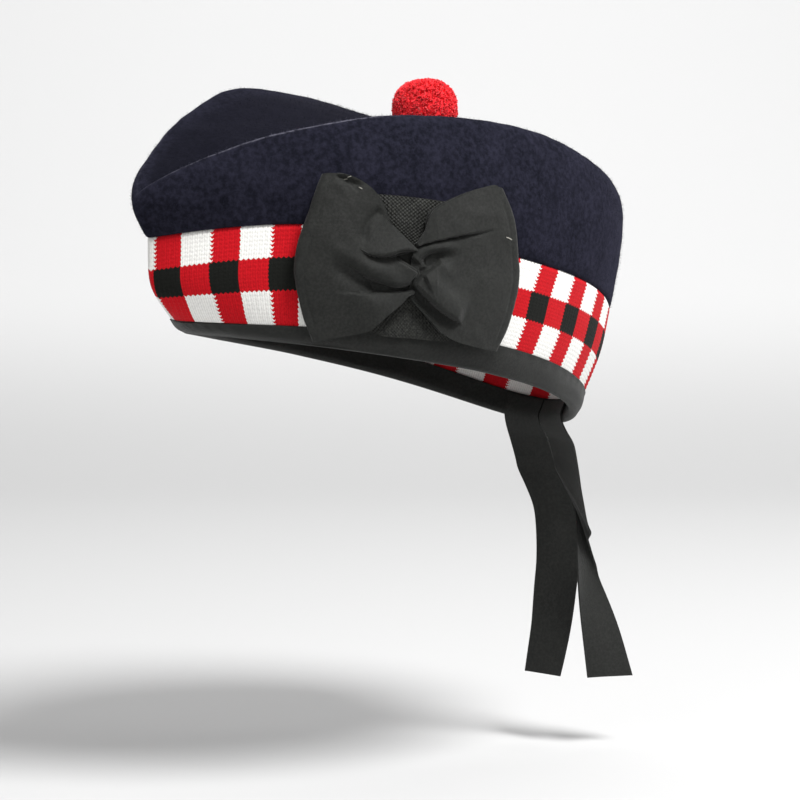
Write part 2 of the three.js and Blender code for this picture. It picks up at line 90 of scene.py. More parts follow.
# Level of the crown's seam, and levels just inside the wall's ends, where its outward direction is taken
SEAM = 3.0
EDGE_LEVEL = 0.01
SEAM_LEVEL = 2.99
RIDGE_PLAN = {"front": 161, "back": 124.5, "half": 74, "point_front": 1.5, "point_back": 1.1}
RIDGE = table(
    "angle left right fold swell lobe",
    (0, 56.5, 56, 5, 3.2, 0),
    (15, 67, 67.5, 4, 4, 0.5),
    (30, 81.8, 83.8, 3.5, 4, 0.5),
    (45, 98.2, 106, 3.5, 4, 0.5),
    (60, 113.2, 127.8, 4, 4, 0.5),
    (75, 121.8, 136.5, 5, 4, 1.5),
    (90, 126.8, 138.5, 6, 3.8, 3),
    (120, 126, 132, 13, 3.2, 3),
    (150, 119.6, 121, 17, 1.0, 2),
    (180, 106, 106, 20, 1.2, 0),
)
CREASE_FRONT = -145
CREASE_BACK = 92
CREASE = table(
    "along height",
    (-145, 65),
    (-126, 78),
    (-100, 93),
    (-60, 108),
    (-20, 114),
    (0, 114),
    (40, 111),
    (70, 107),
    (92, 102),
)

# Felt: points round it, and its rows, close together at the lower edge and in the middle of the ridge's
# fold, which takes only some of the flank and of the top
CROWN_AROUND = 324
EDGE_SHARES = [0, 0.004, 0.012, 0.024, 0.04]
FLANK_SHARES = np.linspace(0.065, 1, 34)
FOLD_ROWS = 17
FOLD_CROWDING = 0.6
FOLD_OF_FLANK = 0.7
FOLD_OF_TOP = 0.8
TOP_ROWS = 38
# How proud the felt stands, how its edge rolls in and hangs over the band, its long and short waves, and
# how near its edge and the crease they die away
FELT_PROUD = 0.5
EDGE_ROLL = 1.3
EDGE_ROLL_UP = 2.6
EDGE_DROP = 1.1
EDGE_DROP_UP = 9
LONG_WAVES = 0.5
SHORT_WAVES = 0.10
STILL_AT_EDGE = 8
STILL_AT_CREASE = 6
# Where the ridge carries a painted highlight, by degrees from the front, and the highlighted line's place
# and half width over it
HIGHLIGHT_RISES = (8, 38)
HIGHLIGHT_FALLS = (56, 70)
HIGHLIGHT_AT_FRONT = 0.35
HIGHLIGHT_ON_RIGHT = 0.5
HIGHLIGHT_MIDDLE = 0.58
HIGHLIGHT_HALF = 0.085
HIGHLIGHT_SWELL = 0.35
# Where painted shade darkens the felt in the crease: by shares of the fold, as far as its end, and then of
# the way down
CREASE_SHADE_RISES = (0.68, 1)
CREASE_SHADE_AT_FOLD = 0.4
CREASE_SHADE_DOWN = (0, 0.35)
# Fuzz: how many fibres, how much denser along the ridge's highlighted line, the range of each one's lift and
# sizes, how much
# less a lifted one lies along the felt, and how deep its root is
FUZZ = 30000
FUZZ_ON_HIGHLIGHT = 5
FUZZ_LIFT = (0.12, 0.95)
FUZZ_LIES_LESS = 0.6
FUZZ_LENGTH = (0.7, 2.1)
FUZZ_THICK = (0.035, 0.06)
FUZZ_ROOT = 0.2

# Dicing: checks round the cap, rows of checks, and knitted stitches in one check
CHECKS = 48
ROWS = 3
WALES = 6
COURSES = 8
ROW_LEVELS = table("row level", (-1, 0.1), (0, 1.0), (1, 1.76), (2, 2.37), (3, 3.0))
SPACING_LEVEL = 1.95
SPACING = table("length check", (0, 0), (4, 4.05), (13.6, 13.95), (19.7, 19.95), (24, 24))
# How far the columns of checks lean from that line, in checks, at the front and at the back
LEAN = table(
    "level front back",
    (0, -0.9, -0.2),
    (1, -0.58, -0.1),
    (1.7, -0.08, 0),
    (2.35, 0.13, 0),
    (3, 0.16, 0.2),
)
# Checks from the front over which the lean passes to the back's, ends at the back, and eases on the right
LEAN_TO_BACK = (5, 13)
LEAN_ENDS = (22, 24)
LEAN_ON_RIGHT = (0, 9)
# The points of one stitch across its two legs, and of one course upwards
STITCH_ACROSS = table("point lean relief", (0, 0.5, -0.15), (1, 0, 1.0), (2, -0.5, 0.3), (3, 0, 1.0))
STITCH_UP = table("point relief", (0, 0.3), (1, 1.0), (2, 0.95))
STITCH_RELIEF = 0.42
STITCH_LEAN = 0.45
TEETH_BEHIND = 0.15
TEETH_BEFORE = 0.05
KNIT_EDGE = 0.02
KNIT_TUCK = 1.6
KNIT_TUCK_ROWS = 0.16
KNIT_TOP_LEVEL = 2.98
KNIT_BACK_ROWS = 7

# Binding: its inner and outer face from the middle of the cloth, its swell outside, its drawn-in sewn
# edge, its gathers, how unevenly they are spaced and how flat the seam presses them, its waves, and its
# length in metres
BINDING_NEAR = WOOL / 2 + SEAM_GAP
BINDING_FAR = BINDING_NEAR + RIBBON + 0.2
BINDING_AROUND = 480
BINDING_LEVELS = np.linspace(1.0, 0.0, 12)
BINDING_TURNS = np.radians(np.linspace(0, 180, 13)[1:-1])
BINDING_SWELL = 0.55
BINDING_SWELL_END = 0.9
BINDING_SEWN = (0.55, 1.0)
BINDING_DRAWN_IN = 0.25
BINDING_GATHERS = 66
GATHER_HEIGHT = 0.22
GATHER_STRAY = 1.3
GATHER_PRESSED = 0.6
BINDING_WAVES = 0.18
BINDING_GIRTH = 0.62

# Cockade: places along the cap from the middle of the bow, up from the cut edge, and out from the wall
COCKADE_ANGLE = 70
COCKADE_ARC = 2.43
CLIMB = table("up level", (0, 0), (12.9, 1), (33.8, 2), (57, 3), (118, 4))
# Steps up the cap over which its side is softened under the cockade, and the levels that this may reach
SEAT_STEPS = (-5, -2.5, 0, 2.5, 5)
SEAT_LEVELS = (EDGE_LEVEL, 3.9)
# Its backing: how far out it lies on the binding and, further up, on the wall; its outline, whose low
# corners are cut away from a place along it, by a slope; its puff, long and short waves and thickness
BED_OVER_BINDING = 1.8
BED_ON_WALL = 0.5
BED_DROPS = (12, 24)
BACKING_HALF = 33
BACKING_LOW = 10.5
BACKING_TOP = 71
FRONT_CUT, FRONT_CUT_SLOPE = -20, 0.18
BACK_CUT, BACK_CUT_SLOPE = 15, 0.3
BACKING_PUFF = 0.9
BACKING_LONG_WAVES = 0.25
BACKING_SHORT_WAVES = 0.12
BACKING_THICK = 1.0
BACKING_GRID = (70, 66)
# Its bow: two crumpled loops that are puffed away from the pinched middle, where a step up counts half
LOOP_BED = 3.4
LOOP_HEIGHT = 3.1
LOOP_PUFF = 1.6
LOOP_PUFFS = (8, 26)
LOOP_LEAST = 0.6
PINCH = 1.6
PINCH_HALF = 7
PINCH_UP_SHARE = 0.5
LOOP_SHORT_WAVES = 0.07
LOOP_LONG_WAVES = 0.12
LOOP_OUT_ROWS = 140
LOOP_TURN_ROWS = 12
LOOP_BEHIND_ROWS = 24
LOOP_BEHIND_END = 0.2
LOOP_ACROSS = 160
BOW_MIDDLE = (-3.0, 40.0)
LOOP_COLUMNS = "reach top_along top_up low_along low_up belly"
LOOP_FRONT = table(
    LOOP_COLUMNS,
    (0.00, -3.6, 47.5, -3.4, 30.8, 0),
    (0.15, -8.0, 51.5, -9, 25.8, 0),
    (0.30, -15, 57.5, -17, 20.5, 0),
    (0.42, -18.8, 63.5, -26.5, 14.4, 0),
    (0.55, -22, 69, -34, 11.7, 0.4),
    (0.70, -27.5, 75, -43.5, 9.8, 1.0),
    (0.85, -36, 80.5, -53.3, 8.2, 1.7),
    (1.00, -44.5, 82.3, -61.2, 6.8, 2.3),
)
LOOP_BACK = table(
    LOOP_COLUMNS,
    (0.00, -5.0, 49, -4.6, 27.4, 0),
    (0.12, -1.5, 56.5, 0.4, 23, 0.4),
    (0.25, 0.7, 64.5, 5, 19.5, 1.2),
    (0.40, 5, 68.8, 11, 15, 2.4),
    (0.55, 11, 72.5, 20, 12, 4),
    (0.70, 18, 76.5, 29, 11, 6),
    (0.85, 25, 79.8, 37, 10.5, 8),
    (0.94, 29, 81.2, 41.5, 10.5, 9.0),
    (1.00, 31.4, 80.5, 44.5, 10.5, 9.5),
)
# Folds in the bow's ribbon: each runs from one place by another to a third, its cloth standing over the
# lower cloth on the left of that way. lip is how round its edge is, run how far the lift dies away, dip
# and groove how deep and wide the hollow beside it is, and begin and end how slowly it rises and dies.
FOLD_COLUMNS = "along up by_along by_up to_along to_up lift lip run dip groove begin end"
FRONT_FOLDS = table(
    FOLD_COLUMNS,
    (-30, 45.5, -19.2, 42.5, -3.6, 47, 0.4, 1.5, 8, 1.8, 3.2, 0.35, 0.04),
    (-40, 42, -14, 31.2, -1.6, 38.4, 3.6, 2.4, 7, 1.6, 4.5, 0.40, 0.03),
    (-1.8, 39.4, -7.5, 42, -15, 44.6, 1.5, 1.0, 4, 1.4, 1.8, 0.03, 0.50),
    (-3.0, 31, -19.2, 28.8, -43, 28, 2.8, 0.9, 12, 1.2, 3.2, 0.03, 0.55),
)
BACK_FOLDS = table(
    FOLD_COLUMNS,
    (-3.6, 48.4, 12, 56.6, 36, 64.5, 1.7, 0.8, 11, 1.1, 1.1, 0.04, 0.42),
    (8.5, 46.2, 5.6, 42, -0.5, 37.6, 2.6, 1.1, 5, 1.7, 1.8, 0.30, 0.06),
    (-4.0, 33.4, 7.8, 25.2, 22, 19, 4.2, 1.4, 8, 2.2, 3.2, 0.04, 0.22),
)
# Soft rolls in the ribbon between the folds, in the same way; a negative height is a hollow
ROLL_COLUMNS = "along up by_along by_up to_along to_up height half begin end"
FRONT_ROLLS = table(
    ROLL_COLUMNS,
    (-46, 50, -30, 40.5, -8, 38.5, 0.9, 3.2, 0.40, 0.30),
    (-54, 64, -38, 51, -18, 45, 2.0, 13, 0.30, 0.30),
    (-68, 24, -48, 13, -24, 9, -2.8, 17, 0.10, 0.30),
    (-20.5, 65, -27.6, 56, -26.5, 46, -1.5, 1.9, 0.12, 0.30),
    (-43, 43, -29, 34, -7.5, 31.8, -2.5, 4.2, 0.30, 0.25),
    (-42, 80.5, -35.5, 77.5, -29.5, 73.5, -1.7, 1.1, 0.25, 0.25),
    (-40, 77.5, -35, 75.6, -31, 71, -1.1, 0.9, 0.35, 0.30),
    (-44, 78, -39, 74, -35, 66, 0.5, 2.2, 0.40, 0.40),
    (-58, 40, -50, 26, -40, 20, 0.4, 5.0, 0.40, 0.40),
    (-43, 79, -52.5, 46, -57, 10, -0.2, 0.7, 0.10, 0.10),
)
BACK_ROLLS = table(
    ROLL_COLUMNS,
    (-4, 42.8, 4, 49.3, 22, 53.8, 2.0, 2.6, 0.06, 0.50),
    (2.6, 40.8, 5.8, 46.2, 17.5, 47, -3.2, 2.0, 0.20, 0.45),
    (1, 37, 13, 30.5, 28, 21, 0.9, 3.6, 0.20, 0.50),
    (-3.5, 29.5, 8, 21.5, 18, 14.5, -0.8, 3.0, 0.10, 0.40),
    (22, 42, 30, 40, 42, 44, 0.5, 4.0, 0.40, 0.40),
    (16, 66, 25, 68, 38, 69, 0.5, 3.0, 0.40, 0.40),
    (31, 78, 45, 46, 43, 13, -0.2, 0.7, 0.10, 0.10),
)
# The ribbon's tips where it is pinched in the middle: how far they stand out and apart up the bow
TIP_REACH = 1.9
TIP_SPACING = 8.2
TIP_UP = 38.6
TIP_FADE = 0.16
# The leaf of ribbon folded over the front loop at the middle of the bow, its rounded lower edge, its two
# faces from the loop's, and how it falls towards its upper edge
LEAF = table(
    LOOP_COLUMNS + " lift",
    (0.00, -22.5, 64.5, -29, 45.0, 3.5, -0.9),
    (0.22, -18.5, 60.3, -23.5, 42.9, 2.0, 0.9),
    (0.45, -14, 56.4, -17, 43, 0.6, 3.2),
    (0.75, -8, 51.2, -9.5, 45.6, 0, 3.4),
    (1.00, -2.6, 47.3, -3.2, 46.4, 0, 2.2),
)
LEAF_GRID = (90, 70)
LEAF_LIP = 2.2
LEAF_PROUD = 0.35
LEAF_SUNK = 0.25
LEAF_FALL = 0.5
LEAF_FALL_CURVE = 1.5
# Stitches that show on the bow, by the place of each one's middle, the way it lies and half its length.
# A long one is thicker, and its ends are thin and sunk.
STITCHES = table(
    "along up turn half",
    (39.2, 61.2, -8, 1.9),
    (-35.4, 79.3, 20, 0.9),
    (-30.6, 73.4, -35, 0.9),
    (-36.8, 78.2, 5, 0.9),
)
STITCH_THICK = 0.13
STITCH_THICKER = 0.07
STITCH_TAPER = 0.9
STITCH_PROUD = 0.25
STITCH_SINKS = 0.4
STITCH_STATIONS = 13
STITCH_SIDES = 8

# Tails: tucked behind the binding by levels of the wall, then hanging between a left and a right edge.
# bow is how far the ribbon's middle stands off the straight line between its edges.
TAIL_WIDTH = 24.5
TAIL_INSIDE = WOOL + 2 * SEAM_GAP + 2.0
TAIL_ACROSS = 21
TAIL_STEP_ROWS = 8
TAIL_SOFTENINGS = 6
TAIL_WAVES = 0.3
TAIL_WAVES_BELOW = (40, 60)
TUCK_ROWS = 10
TUCK = table("step level below", (0, 0.9, 0), (1, 0.5, 0), (2, 0.1, 0), (3, 0, 4))
TAIL_COLUMNS = "step left_x left_y left_drop right_x right_y right_drop bow"
TAIL_LEFT = table(
    TAIL_COLUMNS,
    (0, 0.6, 109.1, 34, 24.6, 103.7, 34, 0),
    (1, 2.0, 110.6, 41, 25.3, 106.2, 39, 0.6),
    (2, 2.7, 112.3, 47.5, 25.7, 107.6, 46, 0.9),
    (3, 3.1, 112.8, 51.4, 26.2, 109.9, 59, 1.0),
    (4, 3.3, 113.0, 52.4, 25.9, 112.8, 69.5, 0.8),
    (5, 3.4, 113.2, 53.0, 25.6, 115.6, 80, 0.4),
    (6, 2.6, 114.3, 53.7, 25.3, 118.5, 85, 0),
    (7, 2.5, 115.3, 54.6, 22.4, 119.7, 88, 0),
    (8, 6.2, 116.7, 60, 20.6, 120.6, 89.3, 0),
    (9, 10.0, 117.5, 66.6, 19.3, 122.2, 91, 0.2),
    (10, 12.8, 117.8, 73, 18.5, 124.4, 95.3, 0.6),
    (11, 15.3, 117.0, 82, 17.5, 127.9, 102.3, 1.2),
    (12, 17.8, 115.4, 98.4, 16.5, 133.1, 112.3, 1.8),
    (13, 18.2, 115.8, 114.3, 17.2, 137.3, 122, 1.8),
    (14, 17.4, 119.8, 137.3, 19.6, 143.6, 140, 1.2),
    (15, 16.1, 124.6, 163, 25.3, 148.0, 163, 0.4),
)
TAIL_RIGHT = table(
    TAIL_COLUMNS,
    (0, -24.6, 103.7, 34, -0.6, 109.1, 34, 0),
    (1, -23.4, 105.7, 42, 0.2, 111.8, 42, 0.5),
    (2, -22.2, 107.2, 49, 0.6, 114.4, 49, 0.8),
    (3, -21.6, 108.6, 55, 0.8, 117.0, 55, 1.0),
    (4, -18.2, 110.6, 63, 4.2, 120.4, 63, 1.0),
    (5, -15.3, 113.8, 74, 6.9, 124.2, 74, 1.0),
    (6, -14.9, 115.3, 86, 7.1, 126.0, 86, 1.0),
    (7, -15.5, 116.2, 103, 6.5, 126.9, 103, 0.8),
    (8, -16.7, 115.8, 117, 5.9, 125.4, 117, 0.8),
    (9, -17.5, 115.6, 128, 5.5, 124.0, 128, 0.8),
    (10, -18.2, 115.3, 139, 5.5, 121.6, 139, 0.8),
    (11, -19.1, 113.7, 153, 4.9, 118.4, 153, 0.6),
    (12, -20.0, 112.5, 163, 4.3, 115.9, 163, 0.4),
)

# Toorie: yarn ends round a core, each frayed into fibres. First a fibre's thickness and tone at its root,
# middle and tip, then how far out these and the core are, as shares of the ball's radius.
YARN_ENDS = 1800
FIBRES = 5
FIBRE = table("station thick tone", (0, 0.30, 0.6), (1, 0.36, 0.85), (2, 0.26, 1.0))
FIBRE_ROOT = 0.80
FIBRE_MIDDLE = 0.90
TRIM = 0.945
SQUARENESS = 2.4
# How much the yarn, its fibres, their trimmed ends and their tones are scattered
YARN_STRAY = 0.05
FIBRE_SPLAY = 0.030
YARN_UNEVEN = 0.010
TRIM_WAVES = 0.014
FIBRE_UNEVEN = 0.008
TONE_SCATTER = 0.12
TONE_WAVES = 0.10
# The tone on top, how much painted shade darkens it underneath, and the heights between which it darkens
TOP_TONE = 0.68
UNDER_SHADE = 0.3
UNDER_SPAN = (-0.3, 0.5)
CORE_SHARE = 0.885
CORE_TONE = 0.5
CORE_GRID = (32, 16)


# Surfaces of the cap


def smooth(low, high, place):
    """0 below low, 1 above high, and an even ease between them."""
    t = np.clip((place - low) / (high - low), 0, 1)
    return t * t * (3 - 2 * t)


def read(rows, column, place):
    """Smooth reading of a table's column at places between its rows."""
    at = next(iter(rows.values()))
    value = rows[column]
    before = np.maximum(np.arange(len(at)) - 1, 0)
    after = np.minimum(np.arange(len(at)) + 1, len(at) - 1)
    slope = (value[after] - value[before]) / (at[after] - at[before])
    place = np.clip(place, at[0], at[-1])
    k = np.clip(np.searchsorted(at, place, side="left") - 1, 0, len(at) - 2)
    span = at[k + 1] - at[k]
    t = (place - at[k]) / span
    rise = t * t * (3 - 2 * t)
    lead = t * (1 - t) ** 2 * span * slope[k]
    trail = -t * t * (1 - t) * span * slope[k + 1]
    return value[k] * (1 - rise) + value[k + 1] * rise + lead + trail


def each_row(rows):
    """A table's rows, one after the other, each by the names of its columns."""
    for values in zip(*rows.values()):
        yield dict(zip(rows, values))


def unit(vectors):
    """Vectors made one long."""
    return vectors / np.maximum(np.linalg.norm(vectors, axis=-1, keepdims=True), 1e-12)


def lengths(line):
    """How far along a line each of its points is."""
    return np.concatenate([[0], np.cumsum(np.linalg.norm(np.diff(line, axis=0), axis=-1))])


def plan(angle, front, back, half, point_front, point_back):
    """Plan of one level: the angle runs from the front by the wearer's left to the back."""
    s, c = np.sin(angle), np.cos(angle)
    point = point_front + (point_back - point_front) * (1 - c) / 2
    return half * np.sign(s) * np.abs(s) ** point, -c * np.where(c > 0, front, back)


def wall(angle, level):
    """Points of the cap's wall, on its outer face."""
    angle, level = np.broadcast_arrays(np.asarray(angle, float), np.asarray(level, float))
    at = {column: read(WALL, column, level) for column in WALL}
    x, y = plan(angle, at["front"], at["back"], at["half"], at["point_front"], at["point_back"])
    c = np.cos(angle)
    to_front = np.maximum(c, 0) ** at["ease_front"]
    to_back = np.maximum(-c, 0) ** at["ease_back"]
    side = at["z_side"]
    z = side + (at["z_front"] - side) * to_front + (at["z_back"] - side) * to_back
    return np.stack([x, y, z], axis=-1)


def outward(angle, level):
    """Outward direction of the wall."""
    step = 1e-3
    around = wall(angle + step, level) - wall(angle - step, level)
    above = wall(angle, level + step) - wall(angle, level - step)
    return unit(np.cross(around, above))


def downward(angle, level):
    """Direction down the wall."""
    step = 0.05
    return unit(wall(angle, level) - wall(angle, level + step))


def ridge_line(angle):
    """The ridge round the crown, higher on the wearer's right."""
    turned = np.degrees(np.abs(angle))
    x, y = plan(angle, **RIDGE_PLAN)
    z = np.where(angle >= 0, read(RIDGE, "left", turned), read(RIDGE, "right", turned))
    return np.stack([x, y, z], axis=-1)


def crease_line(angle):
    """The crease along the top, from front to back."""
    y = (CREASE_BACK + CREASE_FRONT) / 2 - np.cos(angle) * (CREASE_BACK - CREASE_FRONT) / 2
    return np.stack([0 * y, y, read(CREASE, "height", y)], axis=-1)


def bend(start, pull, end, t):
    """A quadratic curve at t, for many curves at once."""
    t = np.asarray(t, float)[..., None]
    return start * (1 - t) ** 2 + 2 * t * (1 - t) * pull + end * t * t


def flank_pull(angle, foot, ridge):
    """The middle point that swells the crown's flank between its foot and its ridge."""
    level_out = unit(outward(angle, np.full_like(angle, SEAM_LEVEL)) * [1, 1, 0])
    swell = 2 * read(RIDGE, "swell", np.degrees(np.abs(angle)))
    return (foot + ridge) / 2 + level_out * swell[..., None]


def side_point(angle, level):
    """The cap's side: the wall up to the crown's seam, and the crown's flank for one level more."""
    angle, level = np.broadcast_arrays(np.asarray(angle, float), np.asarray(level, float))
    foot, ridge = wall(angle, SEAM), ridge_line(angle)
    flank = bend(foot, flank_pull(angle, foot, ridge), ridge, np.clip(level - SEAM, 0, 1))
    return np.where((level <= SEAM)[..., None], wall(angle, np.minimum(level, SEAM)), flank)


def seat(along, up):
    """The cap's side under the cockade, softened where the crown is sewn to the band."""
    angle = np.radians(COCKADE_ANGLE + along / COCKADE_ARC)
    levels = [np.clip(read(CLIMB, "level", up + step), *SEAT_LEVELS) for step in SEAT_STEPS]
    return sum(side_point(angle, level) for level in levels) / len(levels)


def on_side(along, up, out):
    """Points along and up the cap from the cockade's middle, and out from the cap's side."""
    step = 0.5
    around = seat(along + step, up) - seat(along - step, up)
    above = seat(along, up + step) - seat(along, up - step)
    return seat(along, up) + unit(np.cross(around, above)) * np.asarray(out)[..., None]


def worn(points):
    """Points of the cap's own frame, tipped as the cap is worn."""
    x, y, z = np.moveaxis(points, -1, 0)
    c, s = math.cos(WORN_TILT), math.sin(WORN_TILT)
    return np.stack([x, y * c + z * s, z * c - y * s], axis=-1)


def ripple(points, length, seed, waves=10):
    """Soft random waves, about one length from crest to crest and 1 high."""
    rng = np.random.default_rng(seed)
    ways = unit(rng.normal(size=(waves, 3))) * rng.uniform(0.7, 1.4, (waves, 1)) * 2 * math.pi / length
    return np.sin(points @ ways.T + rng.uniform(0, 2 * math.pi, waves)).sum(axis=-1) / math.sqrt(waves)


# Meshes


def facing(grid, ring=False):
    """Outward directions at the points of a grid."""
    if ring:
        around = np.roll(grid, -1, axis=1) - np.roll(grid, 1, axis=1)
    else:
        around = np.gradient(grid, axis=1)
    return unit(np.cross(around, np.gradient(grid, axis=0)))


def closed(grid):
    """A grid with its first column again at its end, so that it closes on itself."""
    return np.concatenate([grid, grid[:, :1]], axis=1)


def cells(grid):
    """The four corners of each cell of a grid."""
    corners = np.stack([grid[:-1, :-1], grid[:-1, 1:], grid[1:, 1:], grid[1:, :-1]], axis=2)
    return corners.reshape((-1, 4) + grid.shape[2:])


def sheet_cells(front, back, ring=False, crease=False):
    """Cells of a sheet's front, back and edges. A closed ring has no sides, and a crease no last edge."""
    edges = [np.stack([back[0], front[0]])]
    if not crease:
        edges.append(np.stack([front[-1], back[-1]]))
    if not ring:
        edges.append(np.stack([front[:, 0], back[:, 0]]))
        edges.append(np.stack([back[:, -1], front[:, -1]]))
    return np.concatenate([cells(grid) for grid in [front, back[::-1]] + edges])


def cloth_places(down_rows, over_columns):
    """Places in the cloth at the points of a grid, the way of its rows first."""
    return np.stack(np.broadcast_arrays(down_rows[:, None], over_columns[None, :]), axis=-1)


def volume_sign(points, faces):
    """Above 0 where four-cornered faces point out of what they close."""
    a, b, c, d = (points[faces[:, k]] for k in range(4))
    return (a * np.cross(b, c)).sum() + (a * np.cross(c, d)).sum()


def make(name, points, faces, finish, stands_for=(), uv=None, marks=None):
    """A piece of the cap from points in millimetres and arrays of faces, one for each count of corners."""
    mesh = bpy.data.meshes.new(name)
    corners = np.concatenate([f.ravel() for f in faces])
    sizes = np.concatenate([np.full(len(f), f.shape[1]) for f in faces])
    mesh.vertices.add(len(points))
    mesh.vertices.foreach_set("co", (points * MM).astype(np.float32).ravel())
    mesh.loops.add(len(corners))
    mesh.loops.foreach_set("vertex_index", corners.astype(np.int32))
    mesh.polygons.add(len(sizes))
    mesh.polygons.foreach_set("loop_start", (np.cumsum(sizes) - sizes).astype(np.int32))
    mesh.update(calc_edges=True)
    if uv is not None:
        layer = mesh.uv_layers.new(name="cloth")
        layer.uv.foreach_set("vector", uv.astype(np.float32).ravel())
    for mark, values in (marks or {}).items():
        mesh.attributes.new(mark, "FLOAT", "POINT").data.foreach_set("value", values.astype(np.float32))
    mesh.validate()
    mesh.shade_smooth()
    mesh.set_sharp_from_angle(angle=math.radians(70))
    mesh.materials.append(finish)
    piece = bpy.data.objects.new(name, mesh)
    bpy.context.scene.collection.objects.link(piece)
    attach(piece, "root")
    if stands_for:
        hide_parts(*stands_for)
    return piece


def cloth(name, front, back, finish, ring=False, crease=False, uv=None, marks=None):
    """A sheet in place of the node of its name, from grids of its front and back points. A ring closes on
    itself, and a crease joins the two halves of its last row."""
    rows, columns = front.shape[:2]
    number = np.arange(rows * columns).reshape(rows, columns)
    if crease:
        other_half = (columns - np.arange(columns)) % columns
        number[-1] = number[-1][np.minimum(np.arange(columns), other_half)]
    behind = number + rows * columns
    if ring:
        number, behind = closed(number), closed(behind)
    faces = sheet_cells(number, behind, ring, crease)
    if uv is not None:
        uv = sheet_cells(uv, uv, ring, crease)
    points = np.concatenate([front.reshape(-1, 3), back.reshape(-1, 3)])
    if volume_sign(points, faces) < 0:
        faces = faces[:, ::-1]
        uv = None if uv is None else uv[:, ::-1]
    used, faces = np.unique(faces, return_inverse=True)
    both_faces = {}
    for mark, values in (marks or {}).items():
        both_faces[mark] = np.concatenate([values.ravel(), 0 * values.ravel()])[used]
    return make(name, points[used], [faces.reshape(-1, 4)], finish, [name], uv, both_faces)


# Finishes


class Shade:
    """One value in a finish. Python's operators on it add Math nodes."""

    def __init__(self, finish, socket):
        self.finish = finish
        self.socket = socket

    def apply(self, operation, *values):
        return self.finish.node("ShaderNodeMath", {"operation": operation}, dict(enumerate(values)))

    def __add__(self, other):
        return self.apply("ADD", self, other)

    def __sub__(self, other):
        return self.apply("SUBTRACT", self, other)

    def __rsub__(self, other):
        return self.apply("SUBTRACT", other, self)

    def __mul__(self, other):
        return self.apply("MULTIPLY", self, other)

    def __mod__(self, other):
        return self.apply("FLOORED_MODULO", self, other)

    def __rmod__(self, other):
        return self.apply("FLOORED_MODULO", other, self)

    def __gt__(self, other):
        return self.apply("GREATER_THAN", self, other)

    def __lt__(self, other):
        return self.apply("LESS_THAN", self, other)

    def __abs__(self):
        return self.apply("ABSOLUTE", self)

    def floor(self):
        return self.apply("FLOOR", self)

    def sine(self):
        return self.apply("SINE", self)

    def smooth(self, low, high):
        sockets = {"Value": self, "From Min": low, "From Max": high}
        return self.finish.node("ShaderNodeMapRange", {"interpolation_type": "SMOOTHSTEP"}, sockets)

    __radd__ = __add__
    __rmul__ = __mul__


class Finish:
    """A finish: one material, with one method that adds any node to it."""

    def __init__(self, name, uniform):
        self.material = bpy.data.materials.new(name)
        self.material.use_nodes = True
        self.tree = self.material.node_tree
        self.shader = self.tree.nodes["Principled BSDF"]
        self.give(self.shader, uniform)

    def give(self, node, sockets):
        """Sets or links a node's sockets, by name or number."""
        for key, value in sockets.items():
            if isinstance(value, Shade):
                self.tree.links.new(value.socket, node.inputs[key])
            elif isinstance(value, tuple) and node.inputs[key].type == "RGBA":
                node.inputs[key].default_value = (*value, 1.0)
            else:
                node.inputs[key].default_value = value

    def node(self, kind, settings=None, sockets=None, output=0):
        """Adds a node: its settings first, then the values or links of its sockets. Returns one output."""
        node = self.tree.nodes.new(kind)
        for key, value in (settings or {}).items():
            setattr(node, key, value)
        self.give(node, sockets or {})
        return Shade(self, node.outputs[output])

    def mix(self, share, first, second):
        """A colour between two. The node's colour sockets share names with others, so go by number."""
        settings = {"data_type": "RGBA", "clamp_factor": True}
        return self.node("ShaderNodeMix", settings, {0: share, 6: first, 7: second}, output=2)

    def on_cloth(self):
        """Places along and across the cloth."""
        place = self.node("ShaderNodeUVMap", {"uv_map": "cloth"})
        return [self.node("ShaderNodeSeparateXYZ", None, {"Vector": place}, axis) for axis in ("X", "Y")]

    def mottle(self, size, detail=3.0, rough=0.55):
        """Cloudy noise from 0 to 1, its clouds about size metres across."""
        place = self.node("ShaderNodeTexCoord", output="Object")
        sockets = {"Scale": 1 / size, "Detail": detail, "Roughness": rough, "Vector": place}
        return self.node("ShaderNodeTexNoise", None, sockets)

    def mark(self, name):
        """A value that the piece's mesh holds at each point."""
        return self.node("ShaderNodeAttribute", {"attribute_name": name}, output="Fac")

    def colour(self, colour):
        """Dyes the surface."""
        self.give(self.shader, {"Base Color": colour})

    def bump(self, height, depth, strength):
        """Raises the surface's grain, depth metres for a height of 1."""
        sockets = {"Strength": strength, "Distance": depth, "Height": height}
        self.give(self.shader, {"Normal": self.node("ShaderNodeBump", None, sockets)})


def felt_finish():
    """Milled navy wool: matt, mottled, with a painted highlight along the ridges and painted shade in the
    crease.
    """
    felt = Finish(
        "navy_felt",
        {
            "Roughness": 0.95,
            "Specular IOR Level": 0.04,
            "Sheen Weight": 0.035,
            "Sheen Roughness": 0.5,
            "Sheen Tint": (0.42, 0.40, 0.68),
        },
    )
    cloudy = felt.mottle(0.016)
    flecks = felt.mottle(0.0026, detail=4, rough=0.65)
    ridge_highlight_and_crease_shade = felt.mark("ridge_highlight_and_crease_shade")
    painted_crease_shade = (0 - ridge_highlight_and_crease_shade).smooth(0, 1)
    painted_ridge_highlight = ridge_highlight_and_crease_shade.smooth(0, 1) * flecks.smooth(0.30, 0.62)
    tone = cloudy.smooth(0.3, 0.75) * 0.3 + flecks.smooth(0.32, 0.70) * 0.7
    dyed = felt.mix(tone, (0.0042, 0.0046, 0.0078), (0.0165, 0.0165, 0.0275))
    # Painted shade: the felt is darkened down into the crease.
    dyed = felt.mix(painted_crease_shade * 0.8, dyed, (0.0026, 0.0028, 0.0050))
    # Painted highlight: the felt is lightened along the ridge's highlighted line.
    felt.colour(felt.mix(painted_ridge_highlight, dyed, (0.095, 0.094, 0.118)))
    felt.bump(flecks * 0.7 + felt.mottle(0.0005, detail=2) * 0.5, 0.0006, 0.55)
    return felt.material


